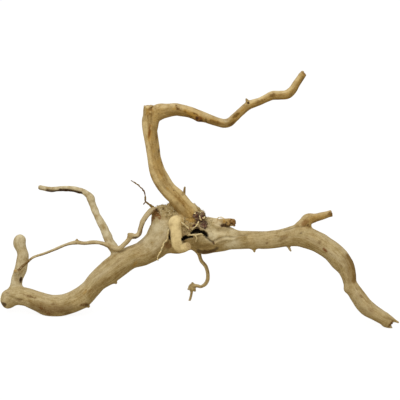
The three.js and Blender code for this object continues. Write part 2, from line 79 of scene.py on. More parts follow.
# Limbs. Each station is (across, up, back, radius). The tone runs from grey-tan at 0 to golden at 1.
LIMBS = {
    "crown": {"tone": 0.3, "stations": [
        (163, 104, 85, 13), (176, 104, 83.5, 18), (190, 101, 82, 18), (203, 97, 79, 15),
        (214, 93, 75.5, 11),
    ]},
    "crown_lower": {"tone": 0.5, "stations": [
        (163, 86, 80, 8), (177.6, 85.4, 81, 9.2), (191, 89, 80.5, 8.8), (207, 87.4, 79, 11.2),
        (214, 87, 76, 9.6), (231, 90.6, 72, 9),
    ]},
    "crown_upper": {"tone": 0.15, "stations": [
        (196, 104, 79, 9), (211, 103, 76, 9), (222, 98, 73.5, 8.2), (236, 91, 71, 7.6),
    ]},
    "collar": {"tone": 0.3, "stations": [
        (159, 113, 82, 7.2), (167, 115, 80, 8.4), (176, 113, 80, 9.6), (190, 106, 80, 10),
    ]},
    "bark_band": {"tone": 0.3, "stations": [
        (181.6, 131.4, 81, 2.6), (186.6, 125.2, 79.5, 3), (193.6, 120, 76, 4.4), (199.8, 114.5, 73, 5),
        (202.8, 109, 71, 5.4),
    ]},
    "left_arm": {"tone": 0.2, "stations": [
        (164.5, 121.8, 85, 7.6), (163, 114.6, 84, 10.6), (164, 103, 82, 13.4), (157.8, 88, 78.5, 14.1),
        (144, 77.2, 73, 12), (130.2, 72.2, 68, 11), (119.8, 65.9, 65, 11.8), (109.9, 58.6, 63, 11.9),
        (98, 49.2, 61, 10.2), (90.5, 40.6, 59.8, 9.7), (81.2, 32.3, 59, 10.4), (67.5, 26, 59.5, 10.4),
        (53, 23.9, 61, 11.1), (38, 28.2, 63.5, 10.1), (26, 32.9, 66.5, 9), (14, 34.2, 70, 9),
        (2.4, 30.4, 73, 7.2),
    ]},
    "left_heel": {"tone": 0.2, "stations": [(16, 37, 68, 6.4), (10.2, 31, 67, 6.9), (4.8, 22.5, 66, 7)]},
    "left_stub": {"tone": 0.25, "stations": [
        (15, 37, 72, 6.6), (15.9, 45.4, 74.5, 6), (17.8, 52.6, 76, 5.6), (20.6, 60.4, 78, 5.8),
        (22.2, 67.4, 79.5, 5.9), (22.8, 74.2, 81.5, 5.6), (21.6, 80.4, 83, 5), (19.8, 87.6, 84.5, 5.9),
        (20.8, 95.7, 86, 5.9),
    ]},
    "right_arm": {"tone": 0.25, "end": "broken", "stations": [
        (190, 98, 80, 13), (203, 94.6, 78, 13.2), (213, 93, 76, 12.2), (222, 91.6, 74, 11.4),
        (232, 90.4, 72, 9.8), (243, 90.1, 70, 8.8), (254, 90.1, 68, 8.5), (266, 90, 65.5, 8.4),
        (278, 91, 63, 8.5), (288, 92.8, 60.5, 9.3), (298, 94.2, 58.5, 10.7), (307, 92.8, 56.5, 11),
        (315.8, 88.9, 54, 10.3), (323.8, 84.2, 51.5, 9.9), (332.8, 78.2, 48.5, 9.9),
        (340.4, 70.3, 45.5, 10.4), (345.7, 62, 42, 9.2), (348.5, 54, 38.5, 7.7), (350.4, 46.5, 35.5, 6.8),
        (354, 39.2, 32, 7.3), (359.8, 30.8, 27.5, 7.8), (366.8, 22.6, 23.5, 8), (376, 16.2, 20, 7),
        (383, 12, 17.6, 6.4), (391.2, 7.1, 14.4, 4.6),
    ]},
    "fork_stub": {"tone": 0.8, "end": "cut", "stations": [
        (297.5, 96.6, 58, 8.6), (302.8, 103.6, 58.5, 7.2), (308.2, 110.2, 59.5, 5.3),
        (314.7, 112.3, 61, 4.3), (320, 113.4, 62.5, 3.7), (326, 115, 64, 3.3), (331.6, 116.8, 65.2, 3.1),
    ]},
    "upper_branch": {"tone": 1.0, "end": "cut", "stations": [
        (198.4, 106.8, 74, 8.8), (186.9, 119.8, 74.5, 8.5), (176.8, 132.4, 75, 8.3), (168.8, 140, 76, 7.8),
        (161.5, 150.2, 79, 8), (156.7, 160.8, 83, 7.4), (154.3, 171, 86, 6.7), (152.9, 181, 89, 6.5),
        (151.3, 191, 92, 6.8), (149.7, 201, 94, 7.1), (149.6, 209, 96, 7.2), (153.4, 215.8, 97, 6.6),
        (160, 219.3, 97, 6.9), (168, 220.2, 96, 6), (178, 220.3, 95, 5.7), (188, 218.4, 93, 5.4),
        (198, 214.9, 91, 5.2), (208, 211.4, 88, 4.7), (217, 208.2, 86, 4.3), (224, 206.6, 84, 4.3),
        (229.4, 207.8, 83, 4.2), (234.6, 212.4, 81, 3.8), (240.9, 218.2, 79, 3.7), (248.4, 224.4, 77, 4),
        (259.3, 228.5, 74, 3.7), (265.8, 231.6, 73, 3.8), (272, 234.3, 72, 4.2), (280, 234.8, 71, 4.2),
        (287.2, 235.8, 70, 4.4), (292.1, 239.5, 69.5, 4), (296.6, 246.4, 68.5, 3.6),
        (300.8, 252.8, 68, 3.3), (303.9, 256.8, 67.4, 2.8),
    ]},
    "elbow_stump": {"tone": 1.0, "end": "broken", "stations": [
        (150.6, 206, 96, 6.4), (148.4, 215, 96, 5), (147.8, 219.6, 95.5, 4.7), (147.8, 224, 95, 4),
    ]},
    "elbow_web": {"tone": 1.0, "stations": [
        (151.5, 200, 94.5, 4.6), (156, 212, 96, 4.5), (176, 219.6, 96, 3),
    ]},
    "front_stub": {"tone": 0.7, "end": "cut", "stations": [
        (180, 104, 78, 6.5), (177, 108, 67, 6.2), (174.6, 106.8, 61.5, 6.1), (175.4, 100.6, 58.6, 5.7),
        (176.6, 92, 56, 5.5), (177.8, 85.6, 54.8, 5.6), (180.8, 82.2, 54, 5.1), (185.4, 82.8, 52.6, 4.2),
        (188.6, 84.2, 50.4, 3.6),
    ]},
    "small_stub": {"tone": 0.8, "end": "broken", "stations": [
        (213, 103, 74, 6), (221, 107, 71, 4.3), (228, 107.6, 69, 3.4), (234.4, 107, 68, 3.2),
    ]},
    "thin_branch": {"tone": 0.25, "stations": [
        (122, 66, 66, 6.5), (116.8, 77, 67, 5.1), (110, 87.6, 69, 4.3), (104.6, 100.3, 73, 3.9),
        (99.9, 109, 76, 3.5), (95.6, 118.1, 80, 3.1), (92.4, 126.4, 83, 3.1), (90.4, 132.4, 85, 3.1),
        (86.4, 136.6, 88, 2.7), (80, 139.4, 91, 2.6), (68, 141.4, 96, 2.4), (58, 141, 100, 2.25),
        (50, 140.6, 103, 2.25), (43, 141.9, 105, 2.1), (38.4, 143, 106, 2),
    ]},
    "thin_root": {"tone": 0.4, "stations": [
        (161, 114, 81, 5), (153, 119.7, 74, 3.5), (147.8, 116, 71, 2.6), (143.4, 109.7, 68, 2.3),
        (140.5, 102, 66, 2.1), (139, 96.3, 64.5, 2.3), (135.6, 93.8, 63, 2.3), (131.2, 94, 62, 2.6),
        (128.4, 90, 61, 2.1), (124.3, 85.8, 60.5, 2), (119.3, 81.6, 60.5, 2.2), (113.5, 82, 62, 2.3),
        (107, 84.9, 62, 2.2), (100, 87.2, 62, 1.75), (93, 87.7, 62, 1.75), (84, 86.8, 62, 1.5),
        (77, 87.6, 62, 1.8), (67, 85.7, 62, 1.25), (53, 79.8, 62.5, 1.1), (43, 76, 63, 1),
        (33, 72.6, 64, 0.95), (27.5, 68, 64.5, 0.95), (22, 63.3, 65, 1.05), (18, 59.2, 65.5, 1.3),
        (14, 58.6, 66, 1.2),
    ]},
    "curly_root": {"tone": 0.35, "stations": [
        (194, 86, 83, 4.6), (198, 78.4, 85, 2.4), (199.7, 73.4, 86.6, 1.55), (201.3, 69.2, 88.2, 1.5),
        (205.7, 63.8, 90.2, 1.55), (207.4, 59.2, 91.6, 1.5), (208, 53.6, 93.5, 1.55),
        (207.3, 49, 95.4, 1.65), (205, 45.6, 97.8, 1.5), (200.8, 43.3, 100.6, 1.4), (197, 44.1, 103, 1.4),
        (193.6, 44, 104.4, 1.6), (191.5, 42.6, 105.4, 2.3), (191.7, 38.6, 107.4, 1.3),
        (191.5, 36.4, 108.6, 1), (190.4, 32, 111, 0.95), (189, 28, 113, 0.9),
    ]},
}

# Spurs: thorns, nubs, twigs and splinters, with their roots sunk in a limb.
SPURS = [
    [(109, 53, 62, 5), (113.5, 49.5, 60.5, 2.8), (116.6, 46.6, 59.5, 0.8)],
    [(81, 30, 56, 5.5), (86, 25.5, 54.5, 3), (89.4, 22.9, 54, 0.8)],
    [(92, 130, 84, 2.8), (90, 130.6, 84, 2.4), (87.8, 131, 84, 0.8)],
    [(131, 94, 62, 2.2), (129.3, 95.4, 61.6, 1.6), (128.4, 96.4, 61.4, 0.6)],
    [(77.2, 87, 62, 1.6), (77, 89.4, 61.8, 1.1), (76.8, 91, 61.6, 0.5)],
    [(183, 128, 79, 2.6), (183.9, 135, 80, 1.3), (185, 143.6, 81, 0.7)],
    [(183, 128, 79, 2.6), (182.2, 134.8, 81, 1.5), (180, 140, 82, 0.8)],
    [(254, 86, 66, 5), (254.2, 80.5, 64, 1.9), (254.6, 77.8, 63, 0.5)],
    [(287.5, 88, 59, 4.4), (288.6, 83.4, 57.4, 1.4), (289.8, 80.6, 56.4, 0.9), (291.2, 78.6, 56, 0.5)],
    [(249.4, 224, 76, 3), (247.4, 228.6, 74.8, 1.7), (246, 231.4, 74, 0.6)],
    [(300.8, 252.6, 68, 2.9), (302.2, 256, 67.7, 1.9), (302.8, 258.8, 67.5, 0.8)],
    [(353, 42, 33, 5), (349, 41.4, 33, 4), (345.4, 40.8, 33, 2.4)],
    [(382, 14, 17, 4), (391, 10.8, 14, 2.3), (399, 7.4, 11.5, 0.6)],
    [(382, 9, 18, 4.4), (388, 4.8, 16, 2.6), (392.2, 0.8, 14.5, 0.7)],
    [(172.6, 116, 78, 6), (170.8, 122, 77.4, 4), (169.2, 126, 77, 2)],
    [(192, 42.6, 105, 2.4), (190, 41.6, 103.6, 1.3), (187.8, 40.6, 102, 0.5)],
    [(192.4, 43, 105, 2.4), (192.6, 45.6, 104, 1.2), (192.4, 47.6, 103.4, 0.5)],
    [(192.4, 42, 105, 2.4), (194.4, 40, 104, 1.2), (195.4, 38.6, 103.6, 0.5)],
]

# Hair roots and fibres too fine for the body: each is a tube of its own.
HAIRS = [
    # The hair twig and its fork.
    [(156, 119.6, 79, 1.6), (152, 123.2, 75, 1.2), (149, 125.8, 73, 0.9), (145.8, 128.2, 72, 0.75),
     (145.2, 133, 71, 0.6), (144.7, 137, 70, 0.55), (141.6, 141.8, 69, 0.5), (137.5, 145.4, 68, 0.45),
     (131, 149.6, 67, 0.4)],
    [(146, 128.4, 72, 0.7), (144.6, 127, 71.4, 0.6), (143.3, 125.6, 71, 0.45)],
]
# Pale strands: a thread root, and bast over the hollow and through the bark.
STRANDS = [
    # The thread root in front of the left arm.
    [(173, 103, 66, 1.1), (169.4, 101, 61.6, 0.8), (167.8, 97, 61.8, 0.75), (167.4, 91, 64, 0.75),
     (164, 86.6, 65, 0.7), (161.2, 79.5, 64.5, 0.7), (157.4, 72.4, 65, 0.65), (158.2, 69.4, 66, 0.45)],
    [(176, 109, 62, 1.4), (181, 107.6, 60, 0.8), (185, 104.6, 60.6, 0.7), (188.4, 101.4, 62.4, 0.6),
     (190, 99, 65, 0.4)],
    [(187, 94.8, 66, 1), (192.4, 95, 61, 0.6), (195.6, 94.4, 60.4, 0.65), (196.6, 91.8, 60.8, 0.6),
     (196.2, 88.4, 63.4, 0.5)],
    [(195.2, 94.6, 60.8, 0.5), (198, 95.6, 61, 0.55), (200.6, 96.4, 62, 0.5), (203, 95.4, 64, 0.4)],
    [(192, 99.6, 66, 0.9), (193.6, 102, 63.4, 0.45), (196.6, 104.4, 62, 0.5), (198, 107, 62.8, 0.4),
     (198.6, 108.6, 65, 0.3)],
    [(198.4, 115.2, 68, 0.5), (199.8, 113.4, 65, 0.4), (200, 111.4, 64.6, 0.45),
     (201.4, 109.4, 66.4, 0.35)],
    [(205, 113.6, 69, 0.4), (204.2, 112.2, 65.8, 0.35), (203, 111.8, 65.4, 0.4), (202, 112.2, 67, 0.35)],
    # A fibre arched over the small stub.
    [(214, 107, 73, 0.6), (216.6, 111, 71, 0.3), (220.4, 113, 70, 0.26), (223.8, 111.8, 69.6, 0.26),
     (226, 107.4, 69, 0.5)],
]

# Splinters of the broken end of the right arm.
SPLINTERS = [
    [(382, 14.6, 16, 2.2), (390, 11.4, 13.6, 1.2), (397.4, 8, 12, 0.2)],
    [(383, 12.6, 18.4, 2), (390, 9.4, 16.8, 1), (394, 7.8, 15.8, 0.2)],
    [(383, 8.8, 19.6, 1.8), (388.4, 6, 18.2, 1), (391.4, 4.2, 17.4, 0.2)],
    [(384, 7.6, 16, 1.6), (388.4, 4.6, 14.4, 0.8), (391.4, 2.4, 13.4, 0.25)],
    [(384, 10.2, 14.6, 1.2), (388.6, 8.2, 12.6, 0.7), (391.4, 7, 11.8, 0.2)],
    [(385, 12, 14.8, 1.2), (390, 9.8, 12.8, 0.7), (394.6, 8, 11.6, 0.2)],
    [(383, 7.4, 18, 1.5), (387, 4.8, 17, 0.8), (389.4, 3.2, 16.4, 0.2)],
]

# The hollow under the bark: slots that run back into the crown, each a row of (across, up, half height).
# The walls of these slots are painted near-black: painted shade.
SLOTS = [
    [(182.4, 90.6, 1.1), (184, 91.8, 1.7), (186, 92.8, 1.7), (188, 93.4, 1.5), (190, 93.7, 1.3),
     (192, 93.8, 0.9)],
    [(191.6, 97, 0.9), (193.4, 98.2, 1.6), (195.4, 99.1, 2.2), (197.4, 99, 2.2), (199.4, 98, 1.5)],
    [(199.8, 98.2, 0.9), (201.6, 98, 1.2), (203.4, 97.4, 1.5), (205.2, 96, 1.5), (206.4, 94.4, 0.9)],
]
SLOT_MOUTH = 50
SLOT_MIDDLE = 63
SLOT_DEPTH = 74
SLOT_RISE = 0.4
SLOT_TAPER = 0.7
# The gap between the front stub and the left arm, painted near-black as painted shade.
GAP = [(169, 99, 58, 1.2), (168.8, 96, 62, 2), (169.6, 92, 66, 1.6), (171, 88, 67, 1)]

# Where the crown keeps its rough bark: (across, up, back, radius, strength).
ROUGH_PLACES = [
    (163, 120, 80, 9, 0.8), (172, 116, 72, 8, 0.9), (186, 111, 64, 9, 1.0), (199, 114, 70, 9, 1.0),
    (190, 104, 62, 8, 1.0), (206, 108, 70, 7, 0.9), (186, 112, 97, 12, 0.5), (170, 112, 96, 9, 0.5),
    (197, 122, 73, 8, 1.0), (190, 128, 77, 6, 1.0), (203, 114, 70, 7, 1.0),
    (227, 108, 67.6, 4.4, 0.34), (233, 107.4, 67.4, 4.2, 0.34), (181, 116, 68, 6, 1.0),
]
# Where that bark is dark and crumbling.
BARK_PLACES = [
    (198, 115, 66, 4.6, 1.0), (203, 113.4, 67, 4.6, 1.0), (199.6, 109, 65, 5, 1.0),
    (204.4, 106, 66, 5, 1.0), (196.4, 103.4, 64, 3.2, 0.9), (188.6, 100, 63, 2.4, 0.6),
]

# The larger flakes of it: (across, up, back).
FLAKES = [
    (204.6, 105.2, 64), (202.8, 107.8, 64), (199.8, 112.2, 65), (196.6, 113.4, 65), (203.6, 111.4, 66),
    (195, 103.8, 62), (189, 100.8, 61),
]

# Where the wood is bleached.
PALE_PLACES = [
    (216, 103, 66, 11, 0.8), (228, 97, 64, 10, 0.7), (160, 100, 68, 12, 0.7), (150, 88, 66, 12, 0.5),
    (232, 86, 64, 9, 0.8), (212, 94, 63, 7, 0.7), (224, 92, 62, 8, 0.5),
]

# Damp spots round the back.
DAMP_PLACES = [
    (150, 88, 93, 6, 0.7), (120, 62, 77, 5, 0.6), (62, 24, 72, 6, 0.7), (30, 34, 76, 4, 0.6),
    (196, 98, 98, 9, 0.6), (262, 90, 74.5, 4, 0.7), (300, 97, 69, 5, 0.7), (334, 76, 58, 5, 0.6),
    (362, 26, 36, 4, 0.7), (182, 112, 100, 7, 0.6), (154, 190, 98.5, 4, 0.7), (176, 222, 101, 4, 0.7),
    (214, 208, 91.5, 3, 0.7), (262, 230, 78, 3, 0.6),
]

# Old knots and scars that swell the skin: (across, up, back, radius, height).
KNOTS = [
    (175.5, 222.4, 91, 4.4, 1.6), (198.4, 211, 86.5, 3.6, 2.0), (192, 43, 104, 3.4, 1.4),
    (91, 131, 82, 3.2, 1.2), (178.6, 111, 61, 5, 1.4), (304.6, 113, 57, 4.5, 1.2),
    (201, 78, 76, 6, 1.2), (291, 88.5, 52, 4.5, 0.9),
    (209, 103, 68, 5, 1.2), (83, 40, 50, 4, 0.6), (23, 72, 75, 4, 0.6), (149.6, 219.4, 91, 1.8, -1.1),
    (147.2, 215.6, 91.4, 1.8, 0.8), (150.4, 223.4, 93, 1.6, -0.8),
    (236, 211, 78, 3, 0.6), (272, 236, 69, 3.4, 0.7), (223.4, 109.4, 68.4, 2.2, 1.2),
    (228.4, 105.2, 66.6, 1.8, 1.3), (231.4, 109.6, 66, 1.6, 1.5), (226, 107.6, 66.6, 1.6, -1.5),
    (231.6, 106.2, 65.6, 1.4, -1.5), (228.6, 109.8, 67, 1.3, -1.1), (15.4, 58.8, 66, 2.4, 0.8),
]

# Folds and cracks of the front, as lines in the view: half width, height, darkness and points. The darkness
# is painted shade in the fold. The height of a groove is below 0.
FOLDS = [
    (2.4, -1.4, 0.10, [(213, 100.6), (218, 99.6), (226, 100), (234, 97), (243, 95.4)]),
    (1.2, -1.5, 0.3, [(214, 88.6), (220, 91.6), (227, 93.4), (234, 93), (240, 94.6), (247, 95)]),
    (1.4, 1.4, 0.0, [(214, 86), (219, 88.9), (225.6, 91), (232, 90.6), (239, 92.6), (246, 93)]),
    (1.1, -1.5, 0.75, [(205.8, 92.4), (208.4, 91), (210, 89.2), (212.8, 87.8), (214, 86)]),
    (1.1, -0.7, 0.30, [(284, 99.6), (291, 101.6), (297, 103.4), (303, 103.2), (308, 104.4)]),
    (1.2, -0.8, 0.15, [(170, 124.6), (174, 119.6), (179, 115.6), (184, 112.6), (190, 111), (196, 112)]),
    (0.8, -0.35, 0.10, [(11.6, 44.6), (16, 44.2), (21.4, 46)]),
    (0.9, -0.4, 0.08, [(52, 34), (64, 30.6), (76, 32.4)]),
    (0.9, -0.35, 0.06, [(100, 56), (112, 64), (124, 72)]),
    (1.0, -0.5, 0.1, [(205.6, 213), (205.8, 208)]),
    (1.2, -1.1, 0.05, [(152.8, 223), (152.4, 218), (151.6, 212), (151.8, 206)]),
    (1.9, 1.3, 0.0, [(208, 108), (214, 105.6), (221, 102.4), (229, 99), (238, 97)]),
    (1.2, 0.5, 0.0, [(7, 32.4), (11.6, 31.2), (16.4, 28)]),
    (1.4, -0.9, 0.10, [(22.4, 30), (19, 30.4), (15.6, 30.6), (11, 32.8), (7, 34)]),
]

# Stains of the front by kind, some of them painted shade: across, up, half length, half width, lean in
# degrees, strength.
STAINS = {
    "brown": [
        (30.4, 33.6, 5.4, 1.3, -18, 0.9), (19.4, 30, 3.6, 1.3, -5, 0.7), (7.4, 37, 1.5, 0.9, 0, 0.7),
        (44, 20.4, 9, 4, -22, 0.7), (58, 21, 7, 3, 5, 0.5), (62, 19, 6, 1.6, 5, 0.6),
        (53, 26, 1.4, 1.6, 0, 0.6), (84, 25.4, 4.4, 1.6, 12, 0.9), (123.6, 60.6, 2.4, 0.8, 35, 0.6),
        (68, 16.4, 6, 1.2, 8, 0.6), (267, 87, 1.6, 1.0, 30, 0.9), (283.4, 91.6, 4, 2.0, 20, 0.5),
        (319.6, 87.6, 1.6, 2.6, -20, 0.55), (341, 64.4, 2.6, 1.2, -35, 0.5),
        (356.6, 40.6, 1.7, 1.0, -50, 0.6), (361.4, 33, 1.9, 1.1, -45, 0.6),
        (330.6, 116.4, 2.4, 3.4, -60, 0.85), (308.8, 104.2, 2.4, 1.6, -40, 0.9),
        (392, 10, 5, 1.2, -32, 0.4), (294, 90, 3, 2, 10, 0.25), (149.4, 216.6, 1.6, 2.4, 60, 0.7),
        (148, 213.6, 3.4, 1.0, 85, 0.7), (146.8, 183, 2.2, 0.9, 80, 0.7),
        (156.5, 192.6, 2.4, 0.8, 88, 0.8), (161.5, 168, 1.6, 0.6, 75, 0.6),
        (177.8, 221.6, 3.4, 1.5, -45, 1.0), (185.6, 218, 2.6, 1.0, -25, 0.8),
        (194.6, 216.4, 3.2, 1.0, -25, 0.9), (190.4, 213.8, 3.4, 0.9, -20, 0.8),
        (215, 208, 7, 2.0, -18, 0.8), (231, 205.8, 3.6, 1.6, 25, 0.8), (259, 228.4, 4.6, 1.6, 25, 0.7),
        (272.6, 234.6, 3, 1.6, 20, 0.8), (291, 236, 2.6, 1.4, 20, 0.5), (160.6, 157, 4.4, 1.5, -60, 0.5),
        (163, 144.6, 7, 1.6, -50, 0.4), (303, 250, 5, 1.1, 55, 0.5), (184.2, 139.4, 2.4, 4.6, 0, 0.8),
        (155, 118.4, 4.6, 2.2, 35, 0.9), (187, 99, 3.4, 1.4, 15, 0.6), (227, 106, 6, 1.6, 0, 0.5),
        (229.4, 109.4, 1.6, 0.8, -20, 0.8), (230.6, 109, 1.8, 0.8, 20, 0.8),
    ],
    "umber": [
        (3.6, 26, 2.8, 1.7, -50, 0.85), (86.6, 24.4, 2.2, 1.0, 20, 0.6), (21, 50.6, 3.6, 1.3, 80, 1.0),
        (301, 97, 1.4, 0.8, 50, 0.7), (151.4, 222.2, 1.2, 1.4, 0, 0.8), (149.6, 201, 2.0, 0.8, 80, 0.5),
        (158.6, 178.6, 2.2, 0.7, 80, 0.75), (197.6, 212.4, 1.3, 1.0, 0, 0.9),
        (201.4, 209.8, 1.2, 1.0, 0, 0.9), (206, 210.4, 0.7, 2.8, 0, 0.8), (248.6, 227, 1.5, 1.3, 0, 1.0),
        # The rows at (169, 96.6), (183.4, 88.6), (225.4, 104.6), (226.4, 107.4) and (231.6, 106) are painted
        # shade: in the gap by the front stub, beside the hollow, under the small stub and in its pits.
        (156.4, 120.4, 2.6, 0.8, 40, 0.9), (163.6, 121, 1.2, 1, 0, 1.0), (169, 96.6, 6, 1.3, 88, 0.9),
        (183.4, 88.6, 1.6, 2.6, 0, 0.7), (225.4, 104.6, 4.6, 1.7, -4, 0.95),
        (226.4, 107.4, 1.4, 1.0, 20, 0.8), (231.6, 106, 1.5, 0.9, 30, 0.8), (136, 92.6, 3, 1.0, 0, 0.85),
        (157.6, 118.6, 3, 0.9, -40, 0.9), (197, 101, 3.6, 1.7, 15, 0.8),
    ],
    "rust": [
        (41, 21.6, 2.4, 1, -20, 0.8), (47.6, 16.8, 3.4, 1.2, -15, 0.8), (325, 79.6, 3.8, 1.4, -35, 0.85),
        (371, 20, 5, 1.6, -40, 0.3), (305, 106.6, 5.4, 2.6, 30, 0.5), (150.6, 220.4, 2.0, 1.6, 40, 0.6),
        (149.4, 198, 6, 1.3, 85, 0.9), (199.2, 211, 3.4, 2.6, 0, 1.0), (167.6, 84.6, 3.4, 3.4, 60, 0.6),
        (232.6, 107.2, 2.4, 3.4, 0, 0.85), (213.6, 87, 1.6, 1.0, -30, 0.7), (157, 116, 5, 2.4, -50, 0.9),
        (153.6, 112, 4, 1.6, 60, 0.8), (208, 77.6, 9, 1.6, 6, 0.6),
    ],
    "gold": [
        (84, 37.6, 3, 1.2, 25, 0.5), (135.4, 66.6, 3.4, 1.5, 40, 0.9), (148.4, 218.4, 4.4, 2.3, 85, 0.9),
        (149.8, 195.6, 8, 2.6, 85, 0.8), (174, 221.6, 3.0, 1.5, 25, 0.9), (190, 216.6, 8, 3.0, -20, 1.0),
        (203, 211.6, 2.4, 1.8, 0, 0.9), (213, 209.6, 7, 2.4, -18, 0.8), (244, 221, 4, 1.4, 40, 0.6),
        (161.6, 154, 2.2, 0.7, 60, 0.9), (168, 140.6, 3, 1.1, -45, 0.8), (188, 107, 7, 5, 0, 0.7),
        (229, 107.8, 6, 3, 0, 1.0), (15.6, 58.8, 2, 1.4, 0, 0.6),
    ],
    "cream": [
        (147.4, 222.6, 1.6, 1.2, 0, 0.7), (150, 218, 1.4, 0.8, 30, 0.8),
    ],
    "bleached": [
        (226.6, 208.8, 2.6, 1.5, 0, 0.9),
    ],
    "olive": [
        # The rows at (222, 100), (200, 83.6) and (206, 83) are painted shade: in the valley of the right
        # lobe and on the lower lobe under the crown.
        (236, 214.8, 4, 1.9, 42, 0.9), (179, 122, 9, 4.4, -48, 0.4), (222, 100, 7, 2.2, 0, 0.3),
        (200, 83.6, 7.5, 4, -18, 0.35), (206, 83, 8, 4, 10, 0.4), (160, 80, 12, 4, 40, 0.25),
    ],
}

# Stains that follow a line of the front, some of them painted shade and painted highlights: half width,
# strength, kind, the only limb they are on, points.
BANDS = [
    # The two olive bands on the knee's outer facet are partly stain and partly painted shade, darkest
    # towards the edge turned from the light.
    (5.6, 0.5, "olive", None, [(348, 72), (350.4, 65), (351.4, 58), (352.2, 51)]),
    (2.6, 0.85, "olive", None, [(348.4, 74.6), (351.6, 69), (353.4, 62), (354.2, 55), (354.2, 49)]),
    # The two umber bands on the thin branch are painted shade along its underside.
    (1.5, 0.9, "umber", "thin_branch", [(47, 139.4), (54, 138.6), (62, 139.2)]),
    (1.9, 1.0, "umber", "thin_branch", [(60, 139.6), (67, 139.8), (74, 138.4), (81, 137)]),
    (1.0, 0.5, "brown", "thin_branch", [(38, 141.4), (47, 139.6)]),
    (2.2, 0.9, "brown", "thin_root", [(30, 70), (24, 64.6), (18.6, 60.4)]),
    (1.2, 0.9, "brown", "thin_root", [(139.6, 94.4), (142.8, 102), (146.4, 109), (151, 114.4)]),
    (0.9, 0.7, "brown", "thin_root", [(38, 73), (52, 78.4), (66, 84), (76, 85.6)]),
    (0.9, 0.5, "brown", "thin_root", [(84, 85.4), (94, 86), (104, 84.6), (112, 80.6)]),
    # This umber band is painted shadow under the crown.
    (1.8, 0.75, "umber", None, [(198, 79.4), (203, 78.2), (209, 77.8), (214, 79.4), (217.4, 82)]),
    (6.0, 0.45, "olive", None, [(34, 24), (44, 22), (56, 21), (68, 22)]),
    (9.0, 0.1, "olive", None, [(352, 44), (362, 30), (376, 18), (388, 10)]),
    (0.9, 0.6, "brown", "curly_root", [(199.8, 76), (202.2, 69.4), (206.6, 63.8), (208.6, 57)]),
    (0.7, 0.6, "brown", "curly_root", [(203, 43.2), (197, 43), (193.6, 43.4)]),
    (2.0, 0.4, "olive", None, [(88, 37), (97, 44), (106, 50)]),
    # The olive and cream bands on the golden branch are painted light: olive is painted shade on its right
    # and lower side, cream a painted highlight on its left and upper rims.
    (3.2, 0.3, "olive", "upper_branch", [
        (153.6, 203), (153.6, 190), (155.6, 175), (159.4, 163), (165, 151),
    ]),
    (2.2, 0.4, "olive", "upper_branch", [
        (168, 217), (180, 217), (195, 212.6), (210, 207.6), (224, 204.6), (234, 209.6),
    ]),
    (2.8, 0.6, "cream", "upper_branch", [
        (145, 206), (146, 190), (147.4, 178), (150, 165), (155, 152), (163, 140.6), (173, 130),
        (182, 121),
    ]),
    (2.4, 0.6, "cream", "upper_branch", [(164.6, 162), (170, 152), (178, 141), (188, 130), (197, 120)]),
    (1.6, 0.25, "cream", "upper_branch", [(158, 223), (172, 224), (190, 220), (206, 214.6)]),
    (1.6, 0.5, "cream", "upper_branch", [
        (246, 226), (258, 230.6), (270, 237), (286, 238.6), (293, 243), (299, 253),
    ]),
    (2.4, 0.3, "brown", "upper_branch", [(184, 217), (192, 214), (200, 211), (212, 206.8)]),
    (1.8, 0.2, "olive", "upper_branch", [
        (250, 222), (262, 227), (274, 231.6), (288, 233.4), (296, 242), (303, 252),
    ]),
]

# A vector shorter than this has no direction.
LEAST_LENGTH = 1e-12

# Steps that mix a corner of the noise's lattice and a seed into one word.
CORNER_STEPS = np.array([374761393, 668265263, 974634213])
SEED_STEP = 144665
MIX_STEP = 1274126177
WORD = 0xFFFFFFFF
HALF_WORD = 0xFFFF


def place(stations):
    """The points in space of stations, and how much larger a thing is there than in the view."""
    stations = np.asarray(stations, float)
    rays = VIEW_MIDDLE - EYE + np.outer(stations[:, 0] - VIEW_ACROSS, [1, 0, 0])
    rays = rays + np.outer(stations[:, 1] - VIEW_UP, VIEW_RISE)
    scale = (stations[:, 2] - EYE[1]) / rays[:, 1]
    return EYE + rays * scale[:, None] - ORIGIN, scale


def seen(points):
    """Where points in space show in the view: (across, up) of each."""
    rays = points + ORIGIN - EYE
    depth = rays @ SIGHT / EYE_DISTANCE
    return np.stack([VIEW_ACROSS + rays[:, 0] / depth, VIEW_UP + rays @ VIEW_RISE / depth], axis=1)


def unit(vectors):
    """Vectors of length one."""
    return vectors / np.maximum(np.linalg.norm(vectors, axis=-1, keepdims=True), LEAST_LENGTH)


def smooth_step(low, high, values):
    """0 below low, 1 above high, with a smooth rise between."""
    share = np.clip((values - low) / (high - low), 0, 1)
    return share * share * (3 - 2 * share)


def lattice_noise(places, seed):
    """Smooth noise between -1 and 1 at each place, from a seeded lattice of unit cells."""
    cell = np.floor(places).astype(np.int64)
    part = places - cell
    ease = part * part * (3 - 2 * part)
    total = np.zeros(len(places))
    for corner in itertools.product((0, 1), repeat=3):
        mixed = ((cell + corner) @ CORNER_STEPS + seed * SEED_STEP) & WORD
        mixed = ((mixed ^ (mixed >> 13)) * MIX_STEP) & WORD
        value = ((mixed ^ (mixed >> 16)) & HALF_WORD) / (HALF_WORD / 2) - 1
        total += value * np.prod(np.where(corner, ease, 1 - ease), axis=1)
    return total


